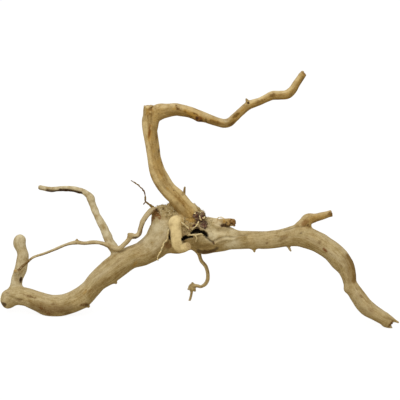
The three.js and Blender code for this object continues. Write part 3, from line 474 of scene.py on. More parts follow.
class Limb:
    """A limb's centre line, sampled closely, with its radius and a frame that doesn't twist."""

    SPACING = 0.7
    SWELL = 0.28
    FEWEST_SAMPLES = 4
    FEWEST_RINGS = 3
    STEEP = 0.9
    AT_ONCE = 8000
    CAP_TURNS = np.radians([15, 40, 65])

    def __init__(self, stations, end="round", tone=0.3):
        points, scale = place(stations)
        radii = scale * np.asarray(stations, float)[:, 3] + self.SWELL
        self.end = end
        self.tone = tone
        self.trace(points, radii)
        self.turn_frames()

    def trace(self, points, radii):
        """A centripetal spline through the points, at even spacing, with the radii eased along it."""
        spans = len(points) - 1
        led = np.vstack([2 * points[0] - points[1], points, 2 * points[-1] - points[-2]])
        held = np.concatenate([radii[:1], radii, radii[-1:]])
        line, width = [], []
        for i in range(spans):
            p0, p1, p2, p3 = led[i:i + 4]
            d0, d1, d2 = (math.sqrt(np.linalg.norm(b - a)) for a, b in ((p0, p1), (p1, p2), (p2, p3)))
            m1 = d1 * ((p1 - p0) / d0 - (p2 - p0) / (d0 + d1) + (p2 - p1) / d1)
            m2 = d1 * ((p2 - p1) / d1 - (p3 - p1) / (d1 + d2) + (p3 - p2) / d2)
            count = max(self.FEWEST_SAMPLES, int(np.linalg.norm(p2 - p1) / self.SPACING))
            t = np.arange(count + (i == spans - 1)) / count
            t2, t3 = t * t, t * t * t
            line.append(
                np.outer(2 * t3 - 3 * t2 + 1, p1) + np.outer(t3 - 2 * t2 + t, m1)
                + np.outer(3 * t2 - 2 * t3, p2) + np.outer(t3 - t2, m2)
            )
            r0, r1, r2, r3 = held[i:i + 4]
            v1, v2 = (r2 - r0) / 2, (r3 - r1) / 2
            width.append(
                (2 * t3 - 3 * t2 + 1) * r1 + (t3 - 2 * t2 + t) * v1 + (3 * t2 - 2 * t3) * r2 + (t3 - t2) * v2
            )
        line, width = np.vstack(line), np.concatenate(width)
        along = np.concatenate([[0], np.cumsum(np.linalg.norm(np.diff(line, axis=0), axis=1))])
        # A round end is a ball whose far side is at the last station, and so is the start.
        stop = along[-1] - (width[-1] if self.end == "round" else 0)
        start = min(width[0], stop / 2)
        even = np.linspace(start, stop, max(self.FEWEST_RINGS, int((stop - start) / self.SPACING)))
        self.points = np.stack([np.interp(even, along, line[:, k]) for k in range(3)], axis=1)
        self.radius = np.interp(even, along, width)
        self.along = even

    def turn_frames(self):
        """Tangents, and the two cross directions carried along without twist."""
        self.tangent = unit(np.gradient(self.points, self.along, axis=0))
        self.slope = np.gradient(self.radius, self.along)
        side = np.cross(self.tangent[0], [0, 0, 1] if abs(self.tangent[0][2]) < self.STEEP else [1, 0, 0])
        sides = []
        for tangent in self.tangent:
            side = unit(side - tangent * (side @ tangent))
            sides.append(side)
        self.side = np.array(sides)
        self.rise = np.cross(self.tangent, self.side)

    def near(self, places, reach):
        """The indices of the places within reach of the limb's own box."""
        margin = reach + self.radius.max()
        low, high = self.points.min(axis=0) - margin, self.points.max(axis=0) + margin
        return np.flatnonzero(np.all((places > low) & (places < high), axis=1))

    def measure(self, places):
        """For each place: the gap to the limb's skin, the way out, the limb's coordinates and its radius."""
        index = np.empty(len(places), int)
        squares = (self.points ** 2).sum(axis=1)
        for start in range(0, len(places), self.AT_ONCE):
            some = places[start:start + self.AT_ONCE]
            index[start:start + self.AT_ONCE] = np.argmin(squares - 2 * some @ self.points.T, axis=1)
        offset = places - self.points[index]
        tangent = self.tangent[index]
        step = (offset * tangent).sum(axis=1)
        past = (index == len(self.points) - 1) & (step > 0)
        before = (index == 0) & (step < 0)
        held = np.where(past | before, 0, step)
        radius = self.radius[index] + self.slope[index] * held
        radial = offset - tangent * held[:, None]
        gap = np.linalg.norm(radial, axis=1) - radius
        out = unit(radial)
        if self.end != "round":
            # A cut or broken end is a flat face across the last point.
            beyond = self.along[index] + step - self.along[-1]
            flat = offset - tangent * step[:, None]
            tube_gap = np.linalg.norm(flat, axis=1) - radius
            capped = np.where((beyond > tube_gap)[:, None], tangent, unit(flat))
            gap = np.where(before, gap, np.maximum(tube_gap, beyond))
            out = np.where(before[:, None], out, capped)
        local = np.stack([
            (offset * self.side[index]).sum(axis=1),
            (offset * self.rise[index]).sum(axis=1),
            self.along[index] + step,
        ], axis=1)
        return gap, out, local, radius

    def rings(self, step):
        """Centre points and radii along the limb for a tube, with its ends rounded off or cut."""
        length = self.along[-1] - self.along[0]
        picks = np.linspace(0, len(self.points) - 1, max(self.FEWEST_RINGS, int(length / step)))
        middle = [(self.points[i], self.radius[i]) for i in np.unique(picks.astype(int))]
        end = self.cap(-1, 1, self.CAP_TURNS[::-1]) if self.end == "round" else []
        return self.cap(0, -1, self.CAP_TURNS) + middle + end

    def cap(self, at, side, turns):
        """The rings that round off an end."""
        centre, way, radius = self.points[at], side * self.tangent[at], self.radius[at]
        return [(centre + way * radius * math.cos(turn), radius * math.sin(turn)) for turn in turns]


def deselect():
    """Nothing selected, in object mode."""
    if bpy.context.object and bpy.context.object.mode != "OBJECT":
        bpy.ops.object.mode_set(mode="OBJECT")
    bpy.ops.object.select_all(action="DESELECT")


def pick(piece):
    """Only this piece selected, and active."""
    deselect()
    piece.select_set(True)
    bpy.context.view_layer.objects.active = piece


# Corners of a swept tube that lie nearer than this, in metres, are one.
MERGE_WITHIN = 1e-6


def tubes(name, paths, sides):
    """One mesh of closed tubes, swept as bevelled curves along paths of (centre, radius)."""
    curve = bpy.data.curves.new(name, "CURVE")
    curve.dimensions = "3D"
    curve.bevel_depth = MM
    curve.bevel_resolution = max(0, sides // 2 - 2)
    curve.use_fill_caps = True
    for rings in paths:
        spline = curve.splines.new("POLY")
        spline.points.add(len(rings) - 1)
        spline.use_smooth = True
        for point, (centre, radius) in zip(spline.points, rings):
            point.co = (*(centre * MM), 1)
            point.radius = radius
    piece = bpy.data.objects.new(name, curve)
    bpy.context.collection.objects.link(piece)
    pick(piece)
    bpy.ops.object.convert(target="MESH")
    piece = bpy.context.object
    bpy.ops.object.mode_set(mode="EDIT")
    bpy.ops.mesh.select_all(action="SELECT")
    bpy.ops.mesh.remove_doubles(threshold=MERGE_WITHIN)
    bpy.ops.mesh.normals_make_consistent(inside=False)
    bpy.ops.object.mode_set(mode="OBJECT")
    return piece


def remesh(piece, voxel):
    """The piece's shells made one even skin."""
    pick(piece)
    modifier = piece.modifiers.new("skin", "REMESH")
    modifier.mode = "VOXEL"
    modifier.voxel_size = voxel
    modifier.use_smooth_shade = True
    bpy.ops.object.modifier_apply(modifier=modifier.name)


def carve(piece, tool):
    """Cuts the tool out of the piece, and removes it."""
    pick(piece)
    modifier = piece.modifiers.new("hollow", "BOOLEAN")
    modifier.operation = "DIFFERENCE"
    modifier.solver = "MANIFOLD"
    modifier.object = tool
    bpy.ops.object.modifier_apply(modifier=modifier.name)
    bpy.data.objects.remove(tool)


def corners_of(piece):
    """The piece's vertices in millimetres."""
    places = np.empty(len(piece.data.vertices) * 3)
    piece.data.vertices.foreach_get("co", places)
    return places.reshape(-1, 3) / MM


def normals_of(piece):
    """The piece's vertex normals."""
    normals = np.empty(len(piece.data.vertices) * 3)
    piece.data.vertices.foreach_get("normal", normals)
    return normals.reshape(-1, 3)


def move_corners(piece, places):
    """Sets the piece's vertices, given in millimetres."""
    piece.data.vertices.foreach_set("co", (places * MM).astype(np.float32).ravel())
    piece.data.update()


def set_attribute(piece, name, values, domain="POINT"):
    """A value or a vector on each vertex or face corner, for the material to read."""
    kind = "FLOAT" if values.ndim == 1 else "FLOAT_VECTOR"
    attribute = piece.data.attributes.new(name, kind, domain)
    attribute.data.foreach_set("value" if values.ndim == 1 else "vector", values.astype(np.float32).ravel())


class Skin:
    """For each place: its nearest limb and the next one, their gaps and the limbs' coordinates there."""

    REACH = 14
    FAR = 99.0

    def __init__(self, limbs, places):
        count = len(places)
        self.gap = np.full((2, count), self.FAR)
        self.out = np.zeros((2, count, 3))
        self.local = np.zeros((2, count, 3))
        self.radius = np.ones((2, count))
        self.limb = np.zeros((2, count), int)
        for number, limb in enumerate(limbs):
            some = limb.near(places, self.REACH)
            if len(some):
                self.take(number, some, *limb.measure(places[some]))

    def take(self, number, some, gap, out, local, radius):
        """Keeps the two nearest limbs."""
        best = gap < self.gap[0, some]
        second = ~best & (gap < self.gap[1, some])
        pushed = some[best]
        for kept in (self.gap, self.out, self.local, self.radius, self.limb):
            kept[1, pushed] = kept[0, pushed]
        for rank, mask in ((0, best), (1, second)):
            at = some[mask]
            self.gap[rank, at] = gap[mask]
            self.out[rank, at] = out[mask]
            self.local[rank, at] = local[mask]
            self.radius[rank, at] = radius[mask]
            self.limb[rank, at] = number

    def blend(self, fillet, share):
        """The gap to the filleted skin, the way out of it, and the second limb's weight."""
        width = np.minimum(fillet, share * self.radius.min(axis=0))
        lean = np.clip(1 - (self.gap[1] - self.gap[0]) / width, 0, 1)
        gap = self.gap[0] - lean * lean * width / 4
        weight = lean / 2
        out = unit(self.out[0] * (1 - weight)[:, None] + self.out[1] * weight[:, None])
        return gap, out, weight


def blobs(places, spots):
    """How much each place lies in soft round spots, (across, up, back, radius, strength), up to 1."""
    centres, scale = place(spots)
    total = np.zeros(len(places))
    for centre, size, spot in zip(centres, scale, spots):
        far = np.linalg.norm(places - centre, axis=1) / (spot[3] * size)
        total = np.maximum(total, spot[4] * np.exp(-far ** 4))
    return np.clip(total, 0, 1)


def along_line(places, line):
    """The distance of each place in the view from a line of points."""
    line = np.asarray(line, float)
    nearest = np.full(len(places), np.inf)
    for a, b in zip(line, line[1:]):
        span = b - a
        share = np.clip(((places - a) @ span) / (span @ span), 0, 1)
        nearest = np.minimum(nearest, np.linalg.norm(places - a - share[:, None] * span, axis=1))
    return nearest


def linear(code):
    """The linear colour of an sRGB hex value."""
    parts = [int(code[i:i + 2], 16) / 255 for i in (1, 3, 5)]
    return tuple(v / 12.92 if v <= 0.04045 else ((v + 0.055) / 1.055) ** 2.4 for v in parts)


def add_node(tree, kind, settings=None, links=None):
    """Adds a node, sets its properties and sockets, and links its sockets to nodes or sockets."""
    node = tree.nodes.new(kind)

    def socket(key):
        return node.inputs[key] if isinstance(key, int) else next(
            s for s in node.inputs if s.name == key and s.enabled
        )

    for key, value in (settings or {}).items():
        if isinstance(key, str) and hasattr(node, key):
            setattr(node, key, value)
        else:
            socket(key).default_value = value
    for key, source in (links or {}).items():
        if isinstance(source, bpy.types.Node):
            source = next(s for s in source.outputs if s.enabled)
        tree.links.new(source, socket(key))
    return node


class DriftwoodSizes(bpy.types.PropertyGroup):
    """Sizes that a maker would change."""

    voxel: FloatProperty(
        name="Fineness", description="Edge length of the body's mesh", default=0.62 * MM, min=0.3 * MM,
        unit="LENGTH", precision=5,
    )
    fillet: FloatProperty(
        name="Fillet", description="Widest fillet where limbs grow together", default=3.6 * MM, min=0.5 * MM,
        unit="LENGTH", precision=5,
    )
    relief: FloatProperty(
        name="Relief", description="Share of the full depth of ridges and flutes", default=1.0, min=0, max=3,
        subtype="FACTOR",
    )
    bark_depth: FloatProperty(
        name="Bark depth", description="Depth of the rough bark of the crown", default=1.3 * MM, min=0,
        unit="LENGTH", precision=5,
    )
    fibres: IntProperty(name="Fibres", description="Loose fibres at the crown", default=900, min=0)
    crumbs: IntProperty(name="Crumbs", description="Crumbs of bark at the crown", default=520, min=0)


def colour_property(name, description, code):
    """A colour that a user may change, from its sRGB hex value."""
    return FloatVectorProperty(
        name=name, description=description, default=linear(code), min=0, max=1, subtype="COLOR", size=3,
    )


class DriftwoodColours(bpy.types.PropertyGroup):
    """Colours that a maker would change."""

    shade: colour_property("Shaded tan", "Between the pale streaks of the wood", "#8A7036")
    pale: colour_property("Pale tan", "Pale streaks of the wood", "#CFC199")
    grey: colour_property("Grey", "Silvery weathered patches", "#BFB295")
    # Bleached is also painted on every limb's side turned up and to the left, towards the light, as painted
    # light.
    bleached: colour_property("Bleached", "Limbs that the sun has bleached", "#DDD3B4")
    gold_shade: colour_property("Shaded gold", "Between the streaks of the golden branch", "#7A5212")
    gold_pale: colour_property("Pale gold", "Pale streaks of the golden branch", "#D8BC7C")
    # Cream is also painted as a highlight on the left and upper rims of the golden branch.
    cream: colour_property("Cream", "Smooth young wood of the front stub", "#EAD49E")
    brown: colour_property("Brown", "Stains and specks", "#664518")
    rust: colour_property("Rust", "Red-brown scars", "#7A4A1E")
    # Umber is partly stain and partly painted shade: under the crown, under and in the pits of the small
    # stub, in the gap by the front stub, beside the hollow and along the thin branch's underside.
    umber: colour_property("Umber", "Deep stains", "#3C2410")
    # Olive is partly stain and partly painted shade: on the right and lower sides of the golden branch, on
    # the lower lobe under the crown, in the valley of the right lobe and on the knee's facet.
    olive: colour_property("Olive", "Damp, darker flanks", "#6B4C12")
    yellow: colour_property("Yellow", "Resinous streaks", "#B48A3C")
    bark: colour_property("Bark", "Rest of the bark at the crown", "#46322A")
    crumb: colour_property("Crumb", "Paler bits of that bark", "#7E6450")
    flake: colour_property("Flake", "Red-brown flakes of that bark", "#7C4C3A")
    # Dark is painted shade: it is laid in the hollow's slots, the gap by the front stub, the gaps of the
    # bark and the folds.
    dark: colour_property("Dark", "Cracks and hollows", "#20160F")


def rgba(colour):
    """A colour with full cover, for a socket."""
    return (*colour, 1)


# Sizes of the wood's pattern in millimetres: streaks across and along the grain, then the rest. Real fibres
# are too fine to show, so the finest streaks and the grit are as coarse as they need to be.
STREAKS = {"fine": (1.4, 13), "scuff": (2.8, 9), "broad": (9, 50), "check": (0.9, 30)}
MOTTLES = {"mottle": 6.5, "grit": 1.3, "spot": 2.3}
CLUSTER = 15

# The share of each pattern in the change from shaded to pale wood.
PALENESS = {"fine": 0.28, "broad": 0.26, "mottle": 0.20, "grit": 0.26}

# Layers over the plain wood: colour, pattern, where it starts and is full, its most, the mark it keeps to.
LAYERS = [
    ("grey", "broad", 0.50, 0.70, 0.5, "weather"),
    ("yellow", "mottle", 0.50, 0.66, 0.45, "tone"),
    ("gold_shade", "scuff", 0.54, 0.70, 0.5, "weather"),
    ("gold_shade", "broad", 0.50, 0.72, 0.4, "tone"),
    ("brown", "scuff", 0.62, 0.70, 0.55, "patch"),
    ("gold_shade", "check", 0.58, 0.66, 0.6, "weather"),
    ("brown", "grit", 0.60, 0.70, 0.8, "fleck"),
    ("umber", "spot", 0.64, 0.70, 0.8, "fleck"),
    # The bleached layer also lays the painted light of the sides turned towards the light.
    ("bleached", "mottle", 0.25, 0.65, 0.9, "bleached"),
    # The cream layer also lays painted highlights on the golden branch.
    ("cream", "mottle", 0.10, 0.60, 0.9, "cream"),
    # The olive layer also lays painted shade.
    ("olive", "mottle", 0.10, 0.40, 0.95, "olive"),
    ("yellow", "scuff", 0.36, 0.56, 0.85, "gold"),
    ("rust", "grit", 0.25, 0.48, 1.0, "rust"),
    ("brown", "grit", 0.30, 0.54, 1.0, "brown"),
    # The umber layer also lays painted shade.
    ("umber", "grit", 0.15, 0.40, 1.0, "umber"),
    ("brown", "grit", 0.52, 0.66, 0.55, "rough"),
    ("cream", "grit", 0.48, 0.34, 0.6, "rough"),
    ("bark", "grit", 0.72, 0.40, 1.0, "bark"),
    # The dark layer is painted shade.
    ("dark", "grit", -1.00, 0.00, 1.0, "dark"),
]
MARKS = (
    "tone", "weather", "joint", "bleached", "cream", "fleck", "rough", "bark",
    "brown", "rust", "umber", "olive", "gold", "dark",
)
# Where a cluster of scuffs starts and is full, and a pattern's way from shaded to pale.
PATCH_FROM, PATCH_FULL = 0.48, 0.6
PALE_FROM, PALE_FULL = 0.38, 0.62
# The bump's depth in millimetres and its strength, and the roughness from smooth streaks to fuzzy ones.
BUMP_DEPTH = 0.4
BUMP_STRENGTH = 0.8
SMOOTHEST, FUZZIEST = 0.6, 0.85
WOOD_IOR = 1.45


def weathered_wood(colours):
    """Barkless root wood, washed and dried: grey-tan, streaked lengthwise, matt with a faint sheen."""
    material = bpy.data.materials.new("weathered_root_wood")
    material.use_nodes = True
    material.node_tree.nodes.clear()
    node = functools.partial(add_node, material.node_tree)

    marks = {name: node("ShaderNodeAttribute", {"attribute_name": name}).outputs["Fac"] for name in MARKS}
    metres = node("ShaderNodeTexCoord").outputs["Object"]
    body = node("ShaderNodeVectorMath", {"operation": "SCALE", "Scale": 1 / MM}, {0: metres})

    # Streaks follow the grain of a limb, and pass over into the next limb's grain at a joint.
    patterns = {}
    for name, (across, along) in STREAKS.items():
        pair = []
        for limb in ("grain", "next_grain"):
            grain = node("ShaderNodeAttribute", {"attribute_name": limb}).outputs["Vector"]
            cells = node(
                "ShaderNodeVectorMath", {"operation": "MULTIPLY", 1: (1 / across, 1 / across, 1 / along)},
                {0: grain},
            )
            pair.append(node(
                "ShaderNodeTexNoise", {"Scale": 1.0, "Detail": 4.0, "Roughness": 0.6}, {"Vector": cells},
            ))
        patterns[name] = node("ShaderNodeMix", None, {"Factor": marks["joint"], "A": pair[0], "B": pair[1]})
    for name, size in MOTTLES.items():
        patterns[name] = node(
            "ShaderNodeTexNoise", {"Scale": 1 / size, "Detail": 3.0, "Roughness": 0.6}, {"Vector": body},
        )
    cluster = node("ShaderNodeTexNoise", {"Scale": 1 / CLUSTER, "Detail": 1.0}, {"Vector": body})
    marks["patch"] = node(
        "ShaderNodeMapRange", {"From Min": PATCH_FROM, "From Max": PATCH_FULL}, {"Value": cluster},
    )

    paleness = None
    for name, most in PALENESS.items():
        read = node(
            "ShaderNodeMapRange", {"From Min": PALE_FROM, "From Max": PALE_FULL, "To Max": most},
            {"Value": patterns[name]},
        )
        paleness = node("ShaderNodeMath", {"operation": "ADD"}, {0: paleness, 1: read}) if paleness else read
    tan, gold = (
        node(
            "ShaderNodeMix", {"data_type": "RGBA", "A": rgba(shaded), "B": rgba(pale)},
            {"Factor": paleness},
        )
        for shaded, pale in ((colours.shade, colours.pale), (colours.gold_shade, colours.gold_pale))
    )
    wood = node("ShaderNodeMix", {"data_type": "RGBA"}, {"Factor": marks["tone"], "A": tan, "B": gold})
    for colour, pattern, start, full, most, mark in LAYERS:
        cover = node(
            "ShaderNodeMapRange", {"From Min": start, "From Max": full, "To Max": most},
            {"Value": patterns[pattern]},
        )
        cover = node("ShaderNodeMath", {"operation": "MULTIPLY"}, {0: cover, 1: marks[mark]})
        wood = node(
            "ShaderNodeMix", {"data_type": "RGBA", "B": rgba(getattr(colours, colour))},
            {"Factor": cover, "A": wood},
        )

    height = node("ShaderNodeMath", {"operation": "ADD"}, {0: patterns["fine"], 1: patterns["grit"]})
    bump = node(
        "ShaderNodeBump", {"Strength": BUMP_STRENGTH, "Distance": BUMP_DEPTH * MM}, {"Height": height},
    )
    rough = node(
        "ShaderNodeMapRange", {"From Min": 0.3, "From Max": 0.7, "To Min": SMOOTHEST, "To Max": FUZZIEST},
        {"Value": patterns["fine"]},
    )
    shader = node(
        "ShaderNodeBsdfPrincipled",
        {
            "IOR": WOOD_IOR, "Specular IOR Level": 0.15, "Sheen Weight": 0.12, "Sheen Roughness": 0.5,
            "Sheen Tint": rgba(colours.cream),
        },
        {"Base Color": wood, "Roughness": rough, "Normal": bump},
    )
    node("ShaderNodeOutputMaterial", None, {"Surface": shader})
    return material


# Where a bit of bast or bark is the first colour and the second, and the depth of its bump in millimetres.
BIT_FROM, BIT_FULL = 0.35, 0.65
BIT_BUMP = 0.2


def dry_fibre(name, colours, size):
    """Dry bast and crumbling bark: dull, no sheen, in spots of two colours of this size in millimetres."""
    material = bpy.data.materials.new(name)
    material.use_nodes = True
    material.node_tree.nodes.clear()
    node = functools.partial(add_node, material.node_tree)
    metres = node("ShaderNodeTexCoord").outputs["Object"]
    bits = node("ShaderNodeTexNoise", {"Scale": 1 / (size * MM), "Detail": 2.0}, {"Vector": metres})
    read = node("ShaderNodeMapRange", {"From Min": BIT_FROM, "From Max": BIT_FULL}, {"Value": bits})
    colour = node(
        "ShaderNodeMix", {"data_type": "RGBA", "A": rgba(colours[0]), "B": rgba(colours[1])},
        {"Factor": read},
    )
    bump = node("ShaderNodeBump", {"Strength": 0.4, "Distance": BIT_BUMP * MM}, {"Height": bits})
    shader = node(
        "ShaderNodeBsdfPrincipled", {"Roughness": 0.9, "IOR": WOOD_IOR, "Specular IOR Level": 0.2},
        {"Base Color": colour, "Normal": bump},
    )
    node("ShaderNodeOutputMaterial", None, {"Surface": shader})
    return material


# The relief of the skin: width of a ridge or lump as a share of the radius, its length and its depth.
RIDGES = [(1.1, 60, 0.55), (0.5, 34, 0.24), (0.24, 18, 0.10), (0.12, 9, 0.06)]
LUMPS = [(1.5, 14, 0.6), (0.7, 6, 0.12)]
# The radius of a limb that has them at that size, and the least and most on thinner and thicker ones. The
# shift gives each limb ridges of its own.
RIDGED_RADIUS, RIDGE_RANGE = 10, (0.12, 1.3)
LUMPY_RADIUS, LUMP_RANGE = 5, (0.2, 1.2)
LENGTH_RANGE = (0.35, 1.2)
RELIEF_SHIFT = 17.31


def relief_of(skin, rank, limbs):
    """How far each place stands out of its limb's plain skin, from ridges along the limb and slow lumps."""
    local, radius, limb = skin.local[rank], skin.radius[rank], skin.limb[rank]
    usual = np.array([np.median(one.radius) for one in limbs])[limb]
    round_it = local[:, :2] / radius[:, None]
    ridged = np.clip(radius / RIDGED_RADIUS, *RIDGE_RANGE)
    lumpy = np.clip(radius / LUMPY_RADIUS, *LUMP_RANGE)
    height = np.zeros(len(radius))
    for number, (width, length, most) in enumerate(RIDGES + LUMPS):
        depth = ridged if number < len(RIDGES) else lumpy
        stretch = length * np.clip(usual / RIDGED_RADIUS, *LENGTH_RANGE)
        lattice = np.column_stack([round_it / width, local[:, 2] / stretch]) + (limb * RELIEF_SHIFT)[:, None]
        height += most * depth * lattice_noise(lattice, number)
    return height


# How the skin grows: rounds of moving it, the longest move of each, and the widest fillet as a share of
# a radius.
GROWTH_ROUNDS = 3
LONGEST_MOVE = 2
FILLET_SHARE = 1.1


def grow(limbs, hollows, places, fillet):
    """Moves places onto the filleted skin of the limbs, or onto the wall of a hollow."""
    for _ in range(GROWTH_ROUNDS):
        skin = Skin(limbs, places)
        gap, out, weight = skin.blend(fillet, FILLET_SHARE)
        inner = Skin(hollows, places)
        carved = -inner.gap[0] > gap
        gap = np.where(carved, -inner.gap[0], gap)
        out = np.where(carved[:, None], -inner.out[0], out)
        places = places - out * np.clip(gap, -LONGEST_MOVE, LONGEST_MOVE)[:, None]
    return places, skin, out, weight, carved


def slot_limbs():
    """The slots of the hollow as short limbs that run back from the front of the crown."""
    rows = [
        [
            (across, up, SLOT_MOUTH, high),
            (across, up, SLOT_MIDDLE, high),
            (across, up + SLOT_RISE, SLOT_DEPTH, SLOT_TAPER * high),
        ]
        for across, up, high in itertools.chain(*SLOTS)
    ]
    return [Limb(stations) for stations in [*rows, GAP]]


# How the limbs differ: each table has the usual value and those of the limbs that stand apart.
# How far a cut or broken end is jagged in millimetres, and how brown it is.
RAGGED = {"usual": 0.25, "front_stub": 0.1, "right_arm": 1.5, "small_stub": 1.8, "elbow_stump": 0.7}
BROWNED = {"usual": 0.7, "front_stub": 0.45, "elbow_stump": 0.1}
# The share of the relief that a limb has.
RELIEVED = {"usual": 1.0, "front_stub": 0.2, "upper_branch": 0.45, "elbow_web": 0.3, "small_stub": 2.2}
# How much a limb is smooth young wood, how much it is bleached, and how many flecks it has.
CREAM = {"usual": 0.0, "front_stub": 1.0, "crown_upper": 0.45, "curly_root": 0.4}
BLEACHED = {"usual": 0.0, "thin_branch": 0.8, "left_stub": 0.6, "thin_root": 0.35, "crown_upper": 0.3}
FLECKS = {
    "usual": 0.35, "upper_branch": 1.0, "elbow_stump": 1.0, "elbow_web": 1.0, "fork_stub": 0.7,
    "front_stub": 0.1, "thin_branch": 0.6, "thin_root": 0.8,
}
# How much each limb's side turned up and to the left, towards the light, is painted paler: painted light.
PAINTED_LIGHT_SHARE = {"usual": 0.15, "upper_branch": 0.45, "elbow_web": 0.45, "elbow_stump": 0.4, "fork_stub": 0.3}
LIGHT_WAY = np.array([-0.5, 0.0, 0.866])

# Where marks start and are full: sides turned towards the light, painted paler as painted light, sides that
# show folds and stains, rough limbs, bark round its holes, gaps in the bark, which take painted shade, damp
# spots, flecks, the rims of stains and bands, and the last bit of a cut end.
LIT_SIDE = (0.2, 0.9)
FOLDED_SIDE = (-0.55, -0.1)
STAINED_SIDE = (-0.35, 0.15)
ROUGH_LIMB = (0.8, 1.0)
WHOLE_BARK = (-0.6, -0.1)
OPEN_BARK = (0.1, 0.35)
DAMP = (-0.2, 0.25)
FLECKED = (-0.3, 0.4)
STAIN_RIM = (1.25, 0.65)
BAND_RIM = (1.3, 0.5)
END_RIM = (-0.8, 0.0)
# How dark the painted shade of gaps and hollows is, how deep the hollow's grain is, how far bands fray, and
# plain tone and bark.
PAINTED_SHADE_DARKNESS = 0.9
HOLLOW_GRAIN = 0.3
BAND_FRAY = 0.5
PLAIN_TONE = 0.92
PLAIN_BARK = 0.7

# Seeded noise on the skin, as sums of layers: the size of its lumps in millimetres, its seed and its share.
NOISES = {
    "grain": [(2.6, 11, 1), (1.3, 12, 0.6)],
    "bark lump": [(3.4, 13, 0.5)],
    "fray": [(2.8, 21, 0.4), (1.2, 22, 0.35)],
    "jag": [(1.3, 31, 1)],
    "bark shade": [(2.2, 41, 0.5)],
    "bark hole": [(2.4, 42, 1), (1.2, 43, 0.5)],
    "bark gap": [(1.7, 44, 1)],
    "tone": [(13, 61, 0.4)],
    "fleck": [(12, 62, 1)],
}

# The grain passes over into the next limb's more slowly than the shape does. No two limbs share a pattern.
GRAIN_SPREAD = 2.2
GRAIN_SHIFT = 61.7

# The body's triangles once it is thinned out.
MOST_TRIANGLES = 196000

# How finely the rough body and the tool that hollows it are swept, in millimetres.
TUBE_SIDES = 12
BODY_STEP = 2
HOLLOW_STEP = 1
HOLLOW_VOXEL = 0.5


def noise(places, name):
    """One of the skin's noises at each place."""
    return sum(share * lattice_noise(places / size, seed) for size, seed, share in NOISES[name])


def of_limbs(table):
    """A table's value for each limb and spur."""
    return np.array([table.get(name, table["usual"]) for name in [*LIMBS, *(["spur"] * len(SPURS))]])


def passing(values, skin, weight):
    """Each place's value of its own limb, passing over into the next limb's."""
    return values[skin.limb[0]] * (1 - weight) + values[skin.limb[1]] * weight


